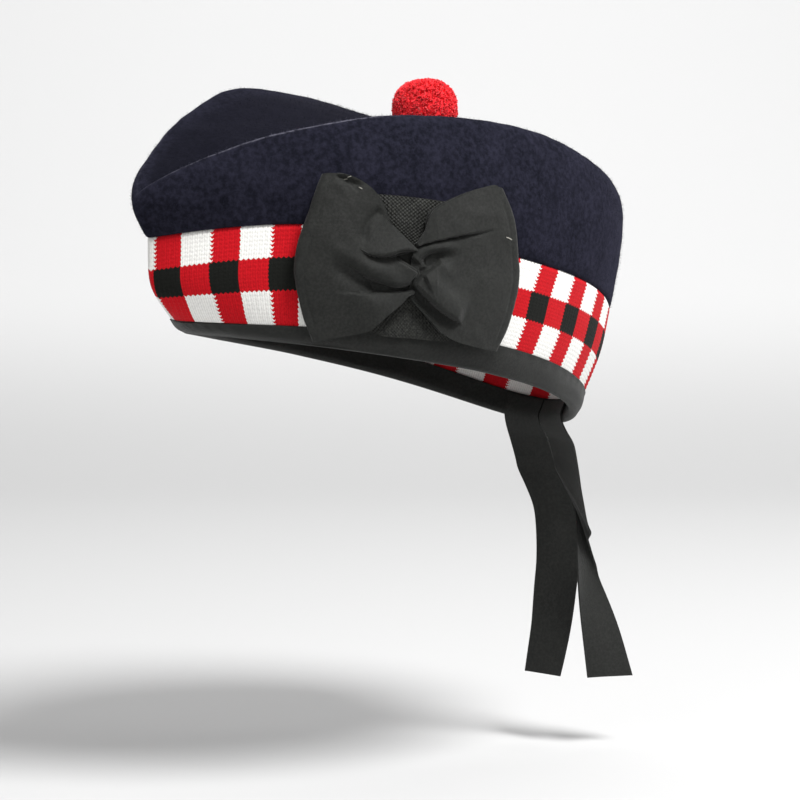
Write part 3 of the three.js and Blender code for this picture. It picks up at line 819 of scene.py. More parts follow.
def fuzz_finish():
    """The felt's standing fibres, which take its painted ridge highlight and crease shade."""
    fuzz = Finish("navy_fuzz", {"Roughness": 0.9, "Specular IOR Level": 0.05, "Sheen Weight": 0.03})
    ridge_highlight_and_crease_shade = fuzz.mark("ridge_highlight_and_crease_shade")
    # Painted shade: the fibres are darkened down into the crease.
    dyed = fuzz.mix((0 - ridge_highlight_and_crease_shade).smooth(0, 1), (0.014, 0.014, 0.026), (0.0025, 0.0025, 0.005))
    # Painted highlight: the fibres are lightened along the ridge's highlighted line.
    fuzz.colour(fuzz.mix(ridge_highlight_and_crease_shade.smooth(0, 1), dyed, (0.11, 0.108, 0.15)))
    return fuzz.material


def knit_finish():
    """Knitted checks: even columns red, black, red, odd ones white, red, white, with toothed edges."""
    knit = Finish(
        "diced_knit",
        {"Roughness": 0.92, "Specular IOR Level": 0.08, "Sheen Weight": 0.04, "Sheen Roughness": 0.5},
    )
    along, up = knit.on_cloth()
    course = up * COURSES
    row = up.floor()
    middle = (row > 0.5) * (row < 1.5)
    before_white = (along + 0.5).floor() % 2
    teeth = (before_white * TEETH_BEFORE + (1 - before_white) * TEETH_BEHIND) * (1 - middle * 0.8)
    tooth = 1 - abs(course % 1 - 0.5) * 2
    odd = (along - tooth * teeth).floor() % 2
    fleck = knit.mottle(0.0011)
    cloudy = knit.mottle(0.006)
    red = knit.mix(fleck, (0.36, 0.004, 0.008), (0.60, 0.009, 0.016))
    white = knit.mix(fleck, (0.66, 0.652, 0.625), (0.90, 0.893, 0.865))
    black = knit.mix(fleck, (0.0045, 0.0050, 0.0042), (0.0125, 0.0135, 0.0115))
    dyed = knit.mix((1 - odd) * middle, knit.mix(odd * (1 - middle), red, white), black)
    leg = abs((along * WALES * 2) % 1 - 0.5) * 2
    # Painted shade: the gaps between the stitches' legs and courses are darkened towards near black.
    gap = leg.smooth(0.6, 1.0) * 0.3 + (1 - (course % 1).smooth(0.0, 0.22)) * 0.2
    knit.colour(knit.mix(gap * (cloudy * 0.4 + 0.8), dyed, knit.mix(0.72, dyed, (0.004, 0.002, 0.003))))
    twist = ((along * WALES * 2 + course * 3) * (2 * math.pi)).sine()
    knit.bump(twist * 0.25 + fleck * 0.6, 0.00025, 0.6)
    return knit.material


def ribbon_finish(name, ends, picks, deep, pale, weave_depth):
    """Plain-woven black ribbon. ends and picks are the threads' pitch across and along it, in metres."""
    ribbon = Finish(
        name,
        {"Roughness": 0.6, "Specular IOR Level": 0.2, "Sheen Weight": 0.1, "Sheen Roughness": 0.35},
    )
    along, across = ribbon.on_cloth()
    warp = (across * (2 * math.pi / ends)).sine()
    weft = (along * (2 * math.pi / picks)).sine()
    over = warp * weft
    cloudy = ribbon.mottle(0.014)
    fleck = ribbon.mottle(0.0013, detail=4)
    tone = cloudy.smooth(0.25, 0.8) * 0.25 + fleck.smooth(0.34, 0.68) * 0.55 + (over + 1) * 0.1
    ribbon.colour(ribbon.mix(tone, deep, pale))
    ribbon.bump(over * 0.5 + weft * 0.35 + fleck * 0.5, weave_depth, 0.7)
    return ribbon.material


def pile_finish():
    """Bright red wool, each fibre a little lighter or darker and paler at its tip."""
    pile = Finish(
        "red_wool",
        {"Roughness": 0.85, "Specular IOR Level": 0.2, "Sheen Weight": 0.35, "Sheen Roughness": 0.4},
    )
    pile.colour(pile.mix(pile.mark("tone"), (0.48, 0.005, 0.010), (1.0, 0.036, 0.052)))
    return pile.material


def thread_finish():
    """Waxed thread, pale where its twist catches the light."""
    thread = Finish("waxed_thread", {"Roughness": 0.45, "Specular IOR Level": 0.5})
    thread.colour(thread.mix(thread.mottle(0.0004), (0.06, 0.055, 0.045), (0.42, 0.41, 0.36)))
    return thread.material


def paper_finish():
    """Pale paper, lighter where it sweeps up behind."""
    paper = Finish("pale_paper", {"Roughness": 0.95, "Specular IOR Level": 0.1})
    paper.colour(paper.mix(paper.mark("height").smooth(0, 0.16), (0.54, 0.54, 0.54), (0.70, 0.70, 0.70)))
    return paper.material


FELT = felt_finish()
FUZZ_FELT = fuzz_finish()
KNIT = knit_finish()
BLACK_RIBBON = ribbon_finish(
    "black_ribbon",
    ends=0.00042,
    picks=0.00055,
    deep=(0.0056, 0.0061, 0.0054),
    pale=(0.0180, 0.0187, 0.0168),
    weave_depth=0.00012,
)
BACKING_CLOTH = ribbon_finish(
    "backing_weave",
    ends=0.0016,
    picks=0.0019,
    deep=(0.003, 0.0032, 0.003),
    pale=(0.026, 0.027, 0.023),
    weave_depth=0.0005,
)
RED_PILE = pile_finish()
THREAD = thread_finish()
PAPER = paper_finish()


# Crown


def ridge_highlight_strength(angle):
    """How strongly the ridge's painted highlight shows: most at its front half, and more on the wearer's
    left.
    """
    turned = np.degrees(np.abs(angle))
    front = HIGHLIGHT_AT_FRONT + (1 - HIGHLIGHT_AT_FRONT) * smooth(*HIGHLIGHT_RISES, turned)
    return front * (1 - smooth(*HIGHLIGHT_FALLS, turned)) * np.where(angle > 0, 1, HIGHLIGHT_ON_RIGHT)


def crown_grid():
    """Outer face of the crown, row by row from the seam on the band over the ridge to the crease, and its
    painted
    light: 1 on the ridge's highlighted line, -1 where painted shade darkens the crease."""
    angle = np.linspace(-math.pi, math.pi, CROWN_AROUND, endpoint=False)
    turned = np.degrees(np.abs(angle))
    foot = wall(angle, SEAM) + SEAM_GAP * UP
    ridge, crease = ridge_line(angle), crease_line(angle)
    pull = flank_pull(angle, foot, ridge)
    top_pull = (ridge + crease) / 2 + (2 * read(RIDGE, "lobe", turned))[:, None] * UP
    flank_length = np.linalg.norm(ridge - foot, axis=-1)
    top_length = np.linalg.norm(ridge - crease, axis=-1)
    most = np.minimum(FOLD_OF_FLANK * flank_length, FOLD_OF_TOP * top_length)
    fold = np.minimum(read(RIDGE, "fold", turned), most)
    flank_end, top_start = 1 - fold / flank_length, fold / top_length
    before = bend(foot, pull, ridge, flank_end)
    after = bend(ridge, top_pull, crease, top_start)
    highlight_strength = ridge_highlight_strength(angle)
    rows, ridge_highlight_and_crease_shade = [], []
    for t in np.concatenate([EDGE_SHARES, FLANK_SHARES]):
        rows.append(bend(foot, pull, ridge, t * flank_end))
        ridge_highlight_and_crease_shade.append(np.zeros_like(angle))
    for s in np.linspace(-1, 1, FOLD_ROWS)[1:-1]:
        t = 0.5 + 0.5 * s * abs(s) ** FOLD_CROWDING
        rows.append(bend(before, ridge, after, np.full_like(angle, t)))
        # The ridge's painted highlight along one line of the fold, less painted shade towards the crease.
        highlight_line = math.exp(-(((t - HIGHLIGHT_MIDDLE) / HIGHLIGHT_HALF) ** 2))
        ridge_highlight_and_crease_shade.append(highlight_strength * highlight_line - CREASE_SHADE_AT_FOLD * smooth(*CREASE_SHADE_RISES, t))
    for t in np.linspace(0, 1, TOP_ROWS):
        rows.append(bend(ridge, top_pull, crease, top_start + t * (1 - top_start)))
        # Painted shade over the top of the crown, deepening down to the crease.
        painted_crease_shade = CREASE_SHADE_AT_FOLD + (1 - CREASE_SHADE_AT_FOLD) * smooth(*CREASE_SHADE_DOWN, t)
        ridge_highlight_and_crease_shade.append(np.full_like(angle, -painted_crease_shade))
    return np.array(rows), np.array(ridge_highlight_and_crease_shade)


def crown():
    """A hollow of felt in soft waves, its lower edge rolled in over the band, and its fuzz."""
    rows, ridge_highlight_and_crease_shade = crown_grid()
    out = facing(rows, ring=True)
    up = np.linalg.norm(rows - rows[:1], axis=-1)
    rolled = 1 - np.sqrt(1 - (1 - np.clip(up / EDGE_ROLL_UP, 0, 1)) ** 2)
    rows = rows - EDGE_DROP * (1 - smooth(0, EDGE_DROP_UP, up))[..., None] * UP
    waves = LONG_WAVES * ripple(rows, length=55, seed=3) + SHORT_WAVES * ripple(rows, length=14, seed=4)
    from_crease = np.linalg.norm(rows - rows[-1:], axis=-1)
    waves = waves * smooth(0, STILL_AT_EDGE, up) * smooth(0, STILL_AT_CREASE, from_crease)
    proud = FELT_PROUD - EDGE_ROLL * rolled + waves + HIGHLIGHT_SWELL * np.maximum(ridge_highlight_and_crease_shade, 0)
    front = rows + out * proud[..., None]
    back = rows - out * WOOL
    back[-1] = rows[-1] - WOOL * UP
    marks = {"ridge_highlight_and_crease_shade": ridge_highlight_and_crease_shade}
    cloth("crown", worn(front), worn(back), FELT, ring=True, crease=True, marks=marks)
    crown_fuzz(front, ridge_highlight_and_crease_shade)


def crown_fuzz(rows, ridge_highlight_and_crease_shade):
    """Fibres that stand off the felt, thickest along the ridge's highlighted line: each a thin three-sided
    spike.
    """
    rng = np.random.default_rng(11)
    around = np.roll(rows, -1, axis=1)[:-1] - rows[:-1]
    above = rows[1:] - rows[:-1]
    chance = np.linalg.norm(np.cross(around, above), axis=-1)
    chance = chance * (1 + FUZZ_ON_HIGHLIGHT * np.maximum(ridge_highlight_and_crease_shade[:-1], 0))
    pick = rng.choice(chance.size, FUZZ, p=chance.ravel() / chance.sum())
    i, j = np.unravel_index(pick, chance.shape)
    root = rows[i, j] + around[i, j] * rng.random((FUZZ, 1)) + above[i, j] * rng.random((FUZZ, 1))
    normal = facing(rows, ring=True)[i, j]
    lie = unit(np.cross(normal, rng.normal(size=(FUZZ, 3))))
    lift = rng.uniform(*FUZZ_LIFT, (FUZZ, 1))
    way = unit(normal * lift + lie * (1 - FUZZ_LIES_LESS * lift))
    length = rng.uniform(*FUZZ_LENGTH, (FUZZ, 1))
    thick = rng.uniform(*FUZZ_THICK, (FUZZ, 1))
    side = unit(np.cross(way, normal + 0.3 * lie))
    other = np.cross(way, side)
    points = []
    for turn in np.radians([90, 210, 330]):
        corner = thick * (math.cos(turn) * side + math.sin(turn) * other)
        points.append(root - FUZZ_ROOT * normal + corner)
    points.append(root + way * length)
    a, b, c, tip = np.arange(4 * FUZZ).reshape(4, FUZZ)
    faces = [np.stack(corners, axis=1) for corners in ((a, b, tip), (b, c, tip), (c, a, tip), (a, c, b))]
    marks = {"ridge_highlight_and_crease_shade": np.tile(ridge_highlight_and_crease_shade[i, j], 4)}
    make("crown_fuzz", worn(np.concatenate(points)), faces, FUZZ_FELT, marks=marks)


# Diced band


def check_angles(checks, level):
    """Angles of places round the band, counted in checks from the front by the wearer's left. The columns
    lean at the front, less towards the back and on the right."""
    fine = np.linspace(0, math.pi, 2001)
    length = lengths(wall(fine, SPACING_LEVEL))
    length *= CHECKS / 2 / length[-1]
    left = checks <= CHECKS / 2
    off_front = np.where(left, checks, CHECKS - checks)
    to_back = smooth(*LEAN_TO_BACK, off_front)
    lean = read(LEAN, "front", level) * (1 - to_back) + read(LEAN, "back", level) * to_back
    lean = lean * (1 - smooth(*LEAN_ENDS, off_front))
    lean = lean * np.where(left, 1, smooth(*LEAN_ON_RIGHT, off_front) - 1)
    place = np.interp(off_front, SPACING["check"], SPACING["length"]) + lean
    return np.where(left, 1, -1) * np.sign(place) * np.interp(np.abs(place), length, fine)


def diced_band():
    stitch_points, course_points = len(STITCH_ACROSS["point"]), len(STITCH_UP["point"])
    columns = CHECKS * WALES * stitch_points
    across = np.arange(columns) % stitch_points
    knitted = np.arange(-1, ROWS * COURSES * course_points + 1)
    row = np.concatenate([[-COURSES], knitted / course_points]) / COURSES
    plump = np.concatenate([[0.0], STITCH_UP["relief"][knitted % course_points]])
    inside = (row > KNIT_EDGE) & (row < ROWS - KNIT_EDGE)
    lean = STITCH_LEAN * STITCH_ACROSS["lean"][across] / COURSES
    leaned = row[:, None] + np.where(inside[:, None], lean, 0)
    level = read(ROW_LEVELS, "level", np.clip(leaned, -1, ROWS))
    along = np.arange(columns + 1) * CHECKS / columns
    angle = check_angles(np.broadcast_to(along[:-1], level.shape), level)
    rows = wall(angle, level)
    out = outward(angle, np.clip(level, EDGE_LEVEL, KNIT_TOP_LEVEL))
    tuck = -KNIT_TUCK * smooth(ROWS - KNIT_TUCK_ROWS, ROWS, row)[:, None]
    relief = STITCH_RELIEF * plump[:, None] * STITCH_ACROSS["relief"][across][None, :]
    front = rows + out * (relief + tuck)[..., None]
    kept = np.linspace(0, len(rows) - 1, KNIT_BACK_ROWS).round().astype(int)
    back = (rows - out * WOOL)[kept]
    number = closed(np.arange((len(rows) + len(kept)) * columns).reshape(-1, columns))
    faces = sheet_cells(*np.split(number, [len(rows)]), ring=True)
    place = cloth_places(row, along)[..., ::-1]
    uv = sheet_cells(place, place[kept], ring=True)
    points = worn(np.concatenate([front.reshape(-1, 3), back.reshape(-1, 3)]))
    make("diced_band", points, [faces], KNIT, ["diced_band"], uv)


# Binding


def binding_leg(angle, level, side, reach, gathers):
    """A line round the binding on the outer side, 1, or the inner side, -1, of the cloth's middle."""
    out = outward(angle, np.full_like(angle, max(level, EDGE_LEVEL)))
    middle = wall(angle, level) - out * WOOL / 2
    sewn = smooth(*BINDING_SEWN, level)
    swell = BINDING_SWELL * math.sin(math.pi * min(level / BINDING_SWELL_END, 1)) - BINDING_DRAWN_IN * sewn
    pressed = gathers * sewn * (1 - GATHER_PRESSED * sewn)
    drawn = pressed + BINDING_WAVES * ripple(middle, length=26, seed=22)
    return middle + out * (side * (reach + swell * (side > 0) + drawn * (reach > BINDING_NEAR)))[:, None]


def binding_rows(angle, reach):
    """One face of the binding: down the outside, round under the edge and up the inside."""
    edge_out = outward(angle, np.full_like(angle, EDGE_LEVEL))
    edge = wall(angle, 0.0) - edge_out * WOOL / 2
    down = downward(angle, 0.0)
    turns = np.arange(BINDING_AROUND) * 2 * math.pi * BINDING_GATHERS / BINDING_AROUND
    gathers = GATHER_HEIGHT * np.sin(turns + GATHER_STRAY * ripple(edge, length=60, seed=21))
    outer = [binding_leg(angle, level, 1, reach, gathers) for level in BINDING_LEVELS]
    under = [edge + reach * (np.cos(turn) * edge_out + np.sin(turn) * down) for turn in BINDING_TURNS]
    inner = [binding_leg(angle, level, -1, reach, gathers) for level in BINDING_LEVELS[::-1]]
    return np.array(outer + under + inner)


def binding():
    """Ribbon folded over the cut edge, a little gathered along its sewn edges."""
    angle = np.linspace(-math.pi, math.pi, BINDING_AROUND, endpoint=False)
    front, back = binding_rows(angle, BINDING_FAR), binding_rows(angle, BINDING_NEAR)
    girth = np.linspace(0, BINDING_GIRTH, BINDING_AROUND + 1)
    uv = cloth_places(lengths(front[:, 0]) * MM, girth)[..., ::-1]
    cloth("binding", worn(front), worn(back), BLACK_RIBBON, ring=True, uv=uv)


# Cockade


def beside(along, up, way):
    """How far places lie from a fold's line, left of it positive, and how far on along it from 0 to 1."""
    place = np.stack([along, up], axis=-1)
    start, by, end = (np.array([way[at + "along"], way[at + "up"]]) for at in ("", "by_", "to_"))
    line = bend(start, 2 * by - (start + end) / 2, end, np.linspace(0, 1, 29))
    nearest = np.full(place.shape[:-1], np.inf)
    signed, on = np.zeros(nearest.shape), np.zeros(nearest.shape)
    for k, run in enumerate(np.diff(line, axis=0)):
        off = place - line[k]
        share = np.clip((off @ run) / (run @ run), 0, 1)
        gap = np.linalg.norm(off - share[..., None] * run, axis=-1)
        left = run[0] * off[..., 1] - run[1] * off[..., 0] > 0
        nearer = gap < nearest
        nearest = np.where(nearer, gap, nearest)
        signed = np.where(nearer, np.where(left, gap, -gap), signed)
        on = np.where(nearer, (k + share) / (len(line) - 1), on)
    return signed, on


def rounded_lip(off, width):
    """A quarter round, from 0 at the edge of a fold to 1 a width away from it."""
    return np.sqrt(1 - (1 - np.clip(off / width, 0, 1)) ** 2)


def fold_lift(along, up, folds, rolls):
    """How far a bow's folds and rolls raise its ribbon."""
    total = np.zeros(np.shape(along))
    for fold in each_row(folds):
        off, on = beside(along, up, fold)
        fade = smooth(0, fold["begin"], on) * smooth(0, fold["end"], 1 - on)
        die = np.exp(-((np.clip(off - fold["lip"], 0, None) / fold["run"]) ** 2))
        hollow = np.exp(-((off / fold["groove"]) ** 2)) * (off <= 0)
        total += fade * (fold["lift"] * rounded_lip(off, fold["lip"]) * die - fold["dip"] * hollow)
    for roll in each_row(rolls):
        off, on = beside(along, up, roll)
        fade = smooth(0, roll["begin"], on) * smooth(0, roll["end"], 1 - on)
        total += fade * roll["height"] * np.exp(-((off / roll["half"]) ** 2))
    return total


def bow_height(along, up, folds, rolls):
    """How far out the bow's face stands: puffed towards its ends and pinched in its middle."""
    away = np.hypot(along - BOW_MIDDLE[0], PINCH_UP_SHARE * (up - BOW_MIDDLE[1]))
    pinch = PINCH * np.exp(-((away / PINCH_HALF) ** 2))
    rise = LOOP_HEIGHT + LOOP_PUFF * smooth(*LOOP_PUFFS, away) - pinch
    return LOOP_BED + np.maximum(rise + fold_lift(along, up, folds, rolls), LOOP_LEAST)


def across_loop(rows, reach, across):
    """Places along and up the cap across a loop, from its lower edge to its upper one."""
    at = {column: read(rows, column, reach) for column in rows}
    belly = np.sign(rows["top_along"][-1]) * at["belly"] * 4 * across * (1 - across)
    along = at["low_along"] + (at["top_along"] - at["low_along"]) * across + belly
    up = at["low_up"] + (at["top_up"] - at["low_up"]) * across
    if rows is LOOP_FRONT:
        tips = np.cos(2 * math.pi * (up - TIP_UP) / TIP_SPACING)
        along = along + TIP_REACH * tips * (1 - smooth(0, TIP_FADE, reach))
    return along, up


def cockade_loop(name, rows, folds, rolls):
    """One loop: the front layer from the middle outwards, the rounded fold, and the layer behind it."""
    across = np.linspace(0, 1, LOOP_ACROSS)
    sign = np.sign(rows["top_along"][-1])
    reach, share = np.meshgrid(np.linspace(0, 1, LOOP_OUT_ROWS), across, indexing="ij")
    along, up = across_loop(rows, reach, share)
    layer = on_side(along, up, bow_height(along, up, folds, rolls))
    half = (bow_height(along[-1], up[-1], folds, rolls) - LOOP_BED) / 2
    turn = np.radians(np.linspace(0, 180, LOOP_TURN_ROWS)[1:-1])[:, None]
    turned_out = LOOP_BED + half + half * np.cos(turn)
    fold = on_side(along[-1] + sign * half * np.sin(turn), up[-1] + 0 * turn, turned_out)
    reach, share = np.meshgrid(np.linspace(1, LOOP_BEHIND_END, LOOP_BEHIND_ROWS), across, indexing="ij")
    along, up = across_loop(rows, reach, share)
    behind = on_side(along, up, np.full_like(up, LOOP_BED))
    grid = np.concatenate([layer, fold, behind])
    crumple = LOOP_SHORT_WAVES * ripple(grid, length=8, seed=31)
    crumple = crumple + LOOP_LONG_WAVES * ripple(grid, length=19, seed=32)
    grid += facing(grid) * crumple[..., None]
    under = grid + facing(grid) * sign * RIBBON
    long = lengths(grid[:, LOOP_ACROSS // 2]) * MM
    wide = across * np.linalg.norm(layer[-1, -1] - layer[-1, 0]) * MM
    uv = cloth_places(long, wide)
    piece = cloth(name, worn(grid), worn(under), BLACK_RIBBON, uv=uv)


def cockade_backing():
    """The coarse-woven patch under the bow, which lies over the binding's edge."""
    columns, rows = BACKING_GRID
    along, share = np.meshgrid(np.linspace(-BACKING_HALF, BACKING_HALF, columns), np.linspace(0, 1, rows))
    low = BACKING_LOW + FRONT_CUT_SLOPE * np.maximum(FRONT_CUT - along, 0)
    low = low + BACK_CUT_SLOPE * np.maximum(along - BACK_CUT, 0)
    up = low + (BACKING_TOP - low) * share
    bed = BED_OVER_BINDING + (BED_ON_WALL - BED_OVER_BINDING) * smooth(*BED_DROPS, up)
    flat = on_side(along, up, bed)
    bed = bed + BACKING_PUFF + BACKING_LONG_WAVES * ripple(flat, length=14, seed=41)
    bed = bed + BACKING_SHORT_WAVES * ripple(flat, length=4, seed=42)
    front, back = on_side(along, up, bed + BACKING_THICK / 2), on_side(along, up, bed - BACKING_THICK / 2)
    uv = np.stack([along, up], axis=-1) * MM
    cloth("cockade_backing", worn(front), worn(back), BACKING_CLOTH, uv=uv)


def cockade_knot():
    """The leaf of ribbon crossed over the middle of the bow, which sinks into the front loop."""
    rows, columns = (np.linspace(0, 1, count) for count in LEAF_GRID)
    reach, share = np.meshgrid(rows, columns, indexing="ij")
    along, up = across_loop(LEAF, reach, share)
    width = np.hypot(along[:, -1:] - along[:, :1], up[:, -1:] - up[:, :1])
    fall = 1 - LEAF_FALL * share ** LEAF_FALL_CURVE
    lift = read(LEAF, "lift", reach) * rounded_lip(share * width, LEAF_LIP) * fall
    low = bow_height(along, up, FRONT_FOLDS, FRONT_ROLLS)
    front, back = on_side(along, up, low + LEAF_PROUD + lift), on_side(along, up, low - LEAF_SUNK + lift)
    uv = np.stack([along, up], axis=-1) * MM
    cloth("cockade_knot", worn(front), worn(back), BLACK_RIBBON, uv=uv)


def stitch_tube(along, up, turn, half):
    """One stitch: a short round thread whose ends sink into the ribbon."""
    folds = (FRONT_FOLDS, FRONT_ROLLS) if along < BOW_MIDDLE[0] else (BACK_FOLDS, BACK_ROLLS)
    c, s = math.cos(math.radians(turn)), math.sin(math.radians(turn))
    sides = np.linspace(0, 2 * math.pi, STITCH_SIDES, endpoint=False)
    t, side = np.meshgrid(np.linspace(-1, 1, STITCH_STATIONS), sides, indexing="ij")
    thick = (STITCH_THICK + STITCH_THICKER * half) * np.sqrt(1 - STITCH_TAPER * t ** 4)
    along = along + half * t * c - thick * np.cos(side) * s
    up = up + half * t * s + thick * np.cos(side) * c
    lie = bow_height(along, up, *folds) + STITCH_PROUD - STITCH_SINKS * t * t
    return on_side(along, up, lie + thick * np.sin(side))


def cockade_stitches():
    """Short waxed stitches where the bow is caught to the cap."""
    tubes = np.array([stitch_tube(**stitch) for stitch in each_row(STITCHES)])
    faces = []
    for number in np.arange(tubes[..., 0].size).reshape(tubes.shape[:-1]):
        faces.append(cells(closed(number)))
        for end in (number[0][::-1], number[-1]):
            faces.append(end[[[0, 1, 2, 3], [0, 3, 4, 7], [4, 5, 6, 7]]])
    make("cockade_stitches", worn(tubes.reshape(-1, 3)), faces, THREAD)


# Tails


def tucked_rows(rows, share):
    """Lines across a tail where it is tucked behind the binding."""
    x = rows["left_x"][0] + (rows["right_x"][0] - rows["left_x"][0]) * share
    lines = []
    for step in np.linspace(0, TUCK["step"][-1], TUCK_ROWS):
        level, below = read(TUCK, "level", step), max(read(TUCK, "below", step), 0)
        angle = math.pi - np.arcsin(x / read(WALL, "half", level))
        angle = np.where(angle > math.pi, angle - 2 * math.pi, angle)
        level = np.full_like(angle, max(level, EDGE_LEVEL))
        inside = wall(angle, level) - outward(angle, level) * TAIL_INSIDE
        lines.append(worn(inside + downward(angle, level) * below))
    return lines


def hanging_rows(rows, share, steps):
    """Lines across a tail below the rim, from its left edge to its right one."""
    at = {column: read(rows, column, steps) for column in rows}
    left = np.stack([at["left_x"], at["left_y"], -at["left_drop"]], axis=-1)[:, None]
    right = np.stack([at["right_x"], at["right_y"], -at["right_drop"]], axis=-1)[:, None]
    return left + (right - left) * share[:, None]


def tail(name, rows):
    """A ribbon tail: tucked behind the binding, then hanging between its two edges below the rim."""
    share = np.linspace(0, 1, TAIL_ACROSS)
    steps = np.linspace(0, rows["step"][-1], TAIL_STEP_ROWS * len(rows["step"]))
    grid = np.concatenate([tucked_rows(rows, share), hanging_rows(rows, share, steps)])
    for softening in range(TAIL_SOFTENINGS):
        grid[1:-1] = (grid[:-2] + 2 * grid[1:-1] + grid[2:]) / 4
    bow = np.concatenate([np.zeros(TUCK_ROWS), read(rows, "bow", steps)])
    bulge = bow[:, None] * 4 * share * (1 - share)
    waves = TAIL_WAVES * ripple(grid, length=30, seed=61) * smooth(*TAIL_WAVES_BELOW, -grid[..., 2])
    grid += facing(grid) * (bulge + waves)[..., None]
    half = facing(grid) * RIBBON / 2
    uv = cloth_places(lengths(grid[:, TAIL_ACROSS // 2]) * MM, share * TAIL_WIDTH * MM)
    piece = cloth(name, grid + half, grid - half, BLACK_RIBBON, uv=uv)


# Toorie


def yarn_ends(rng):
    """The way each yarn end stands out from the middle, how far it is trimmed, and its tone."""
    k = np.arange(YARN_ENDS) + 0.5
    height = 1 - 2 * k / YARN_ENDS
    turn = math.pi * (3 - math.sqrt(5)) * k
    wide = np.sqrt(1 - height * height)
    even = np.stack([wide * np.cos(turn), wide * np.sin(turn), height], axis=-1)
    yarn = unit(even + YARN_STRAY * rng.normal(size=(YARN_ENDS, 3)))
    level = np.hypot(yarn[:, 0], yarn[:, 1])
    trim = TRIM * (level ** SQUARENESS + np.abs(yarn[:, 2]) ** SQUARENESS) ** (-1 / SQUARENESS)
    trim = trim + YARN_UNEVEN * rng.normal(size=YARN_ENDS) + TRIM_WAVES * ripple(yarn, length=1.1, seed=8)
    # Painted shade: the yarn ends are darker underneath the ball.
    tone = TOP_TONE - UNDER_SHADE * (1 - smooth(*UNDER_SPAN, yarn[:, 2]))
    tone = tone + TONE_SCATTER * rng.normal(size=YARN_ENDS) + TONE_WAVES * ripple(yarn, length=0.5, seed=9)
    return yarn, trim, np.clip(tone, 0, 1)


def fibre_rings(rng, yarn, trim, centre, radius):
    """Rings of three points at each fibre's three stations, all fibres' first points first."""
    count = YARN_ENDS * FIBRES
    way = np.repeat(yarn, FIBRES, axis=0)
    splay = unit(way + FIBRE_SPLAY * rng.normal(size=(count, 3)))
    reach = np.repeat(trim, FIBRES) * (1 + FIBRE_UNEVEN * rng.normal(size=count))
    side = unit(np.cross(way, rng.normal(size=(count, 3))))
    other = np.cross(way, side)
    stations = [FIBRE_ROOT * way, FIBRE_MIDDLE * unit(way + splay), splay * reach[:, None]]
    points = []
    for station, thick in zip(stations, FIBRE["thick"]):
        middle = centre + station * radius
        for turn in np.radians([0, 120, 240]):
            points.append(middle + thick * (math.cos(turn) * side + math.sin(turn) * other))
    return np.concatenate(points)


def fibre_faces(count):
    """Four-cornered sides and three-cornered ends of fibres."""
    rings = np.arange(9 * count).reshape(3, 3, count)
    sides = []
    for low, high in zip(rings, rings[1:]):
        for here, there in ((0, 1), (1, 2), (2, 0)):
            sides.append(np.stack([low[here], low[there], high[there], high[here]], axis=1))
    ends = [rings[2].T, rings[0][::-1].T]
    return np.concatenate(sides), np.concatenate(ends)


def ball(around, tall):
    """Points of a unit ball, its four-cornered faces and its three-cornered ones round the poles."""
    tilt = np.linspace(0, math.pi, tall + 1)[1:-1]
    turn = np.linspace(0, 2 * math.pi, around, endpoint=False)
    t, p = np.meshgrid(tilt, turn, indexing="ij")
    rows = np.stack([np.sin(t) * np.cos(p), np.sin(t) * np.sin(p), np.cos(t)], axis=-1).reshape(-1, 3)
    number = np.arange(len(rows)).reshape(t.shape)
    after = np.roll(number, -1, axis=1)
    top, bottom = np.full(around, len(rows)), np.full(around, len(rows) + 1)
    upper = np.stack([number[0], after[0], top], axis=1)
    lower = np.stack([after[-1], number[-1], bottom], axis=1)
    points = np.concatenate([rows, [UP, -UP]])
    return points, cells(closed(number))[:, ::-1], np.concatenate([upper, lower])


def toorie():
    """A pompom: yarn ends all round a core, each frayed into fibres and trimmed to a ball."""
    rng = np.random.default_rng(7)
    low, high = (np.array(corner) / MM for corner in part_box("toorie"))
    centre, radius = (low + high) / 2, (high - low) / 2
    yarn, trim, tone = yarn_ends(rng)
    pile = fibre_rings(rng, yarn, trim, centre, radius)
    scatter = TONE_SCATTER * rng.normal(size=YARN_ENDS * FIBRES)
    tone = np.clip(np.repeat(tone, FIBRES) + scatter, 0, 1)
    sides, ends = fibre_faces(YARN_ENDS * FIBRES)
    core, core_sides, core_caps = ball(*CORE_GRID)
    points = np.concatenate([pile, centre + core * radius * CORE_SHARE])
    tones = [np.tile(tone * share, 3) for share in FIBRE["tone"]] + [np.full(len(core), CORE_TONE)]
    fours = np.concatenate([sides, core_sides + len(pile)])
    threes = np.concatenate([ends, core_caps + len(pile)])
    marks = {"tone": np.concatenate(tones)}
    make("toorie", points, [fours, threes], RED_PILE, ["toorie"], marks=marks)


# Stage


def camera():
    """A camera at the photo's angle."""
    a, e = math.radians(CAMERA_AZIMUTH), math.radians(CAMERA_ELEVATION)
    back = Vector((math.sin(a) * math.cos(e), -math.cos(a) * math.cos(e), math.sin(e)))
    lens = bpy.data.cameras.new("camera")
    lens.lens = CAMERA_LENS
    lens.sensor_width = CAMERA_SENSOR
    holder = bpy.data.objects.new("camera", lens)
    holder.location = CAMERA_TARGET + back * CAMERA_DISTANCE
    holder.rotation_euler = (-back).to_track_quat("-Z", "Y").to_euler()
    bpy.context.scene.collection.objects.link(holder)
    bpy.context.scene.camera = holder


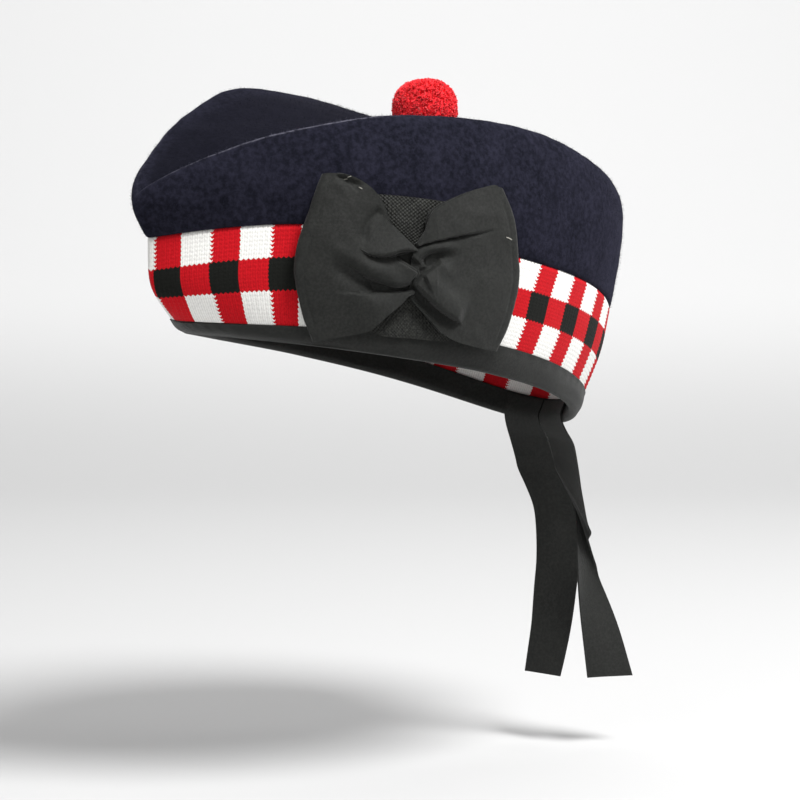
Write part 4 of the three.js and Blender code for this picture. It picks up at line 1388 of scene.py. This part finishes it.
def floor():
    """A pale paper floor that sweeps up behind the cap."""
    start = BACKDROP_BEHIND - SWEEP_RADIUS
    profile = [(-FLOOR_BEFORE, FLOOR_LEVEL), (start, FLOOR_LEVEL)]
    for a in np.radians(np.linspace(0, 90, 19)[1:]):
        rise = SWEEP_RADIUS * (1 - math.cos(a))
        profile.append((start + SWEEP_RADIUS * math.sin(a), FLOOR_LEVEL + rise))
    profile.append((BACKDROP_BEHIND, BACKDROP_TOP))
    turn = math.radians(CAMERA_AZIMUTH)
    away = np.array([-math.sin(turn), math.cos(turn)])
    right = np.array([math.cos(turn), math.sin(turn)])
    points = []
    for side in (-FLOOR_HALF_WIDTH, FLOOR_HALF_WIDTH):
        points += [(*(away * behind + right * side), z) for behind, z in profile]
    n = len(profile)
    faces = [(k, k + 1, n + k + 1, n + k) for k in range(n - 1)]
    mesh = bpy.data.meshes.new("floor")
    mesh.from_pydata(points, [], faces)
    height = mesh.attributes.new("height", "FLOAT", "POINT")
    height.data.foreach_set("value", [(z - FLOOR_LEVEL) / SWEEP_RADIUS for x, y, z in points])
    mesh.shade_smooth()
    mesh.materials.append(PAPER)
    paper = bpy.data.objects.new("floor", mesh)
    bpy.context.scene.collection.objects.link(paper)


def light(name, place, aim, size, power):
    """A round soft light."""
    lamp = bpy.data.lights.new(name, "AREA")
    lamp.shape = "DISK"
    lamp.size = size
    lamp.energy = power
    holder = bpy.data.objects.new(name, lamp)
    holder.location = place
    holder.rotation_euler = (Vector(aim) - Vector(place)).to_track_quat("-Z", "Y").to_euler()
    bpy.context.scene.collection.objects.link(holder)


def lighting():
    """Soft light all round, and the lamps."""
    sky = bpy.data.worlds.new("soft_light")
    sky.use_nodes = True
    background = sky.node_tree.nodes["Background"]
    background.inputs["Color"].default_value = (1, 1, 1, 1)
    background.inputs["Strength"].default_value = SKY_STRENGTH
    bpy.context.scene.world = sky
    bpy.context.scene.view_settings.view_transform = "Standard"
    for name, lamp in LIGHTS.items():
        light(name, **lamp)


camera()
floor()
lighting()
crown()
diced_band()
binding()
cockade_backing()
cockade_loop("cockade_loop_front", LOOP_FRONT, FRONT_FOLDS, FRONT_ROLLS)
cockade_loop("cockade_loop_back", LOOP_BACK, BACK_FOLDS, BACK_ROLLS)
cockade_knot()
cockade_stitches()
toorie()
tail("tail_left", TAIL_LEFT)
tail("tail_right", TAIL_RIGHT)
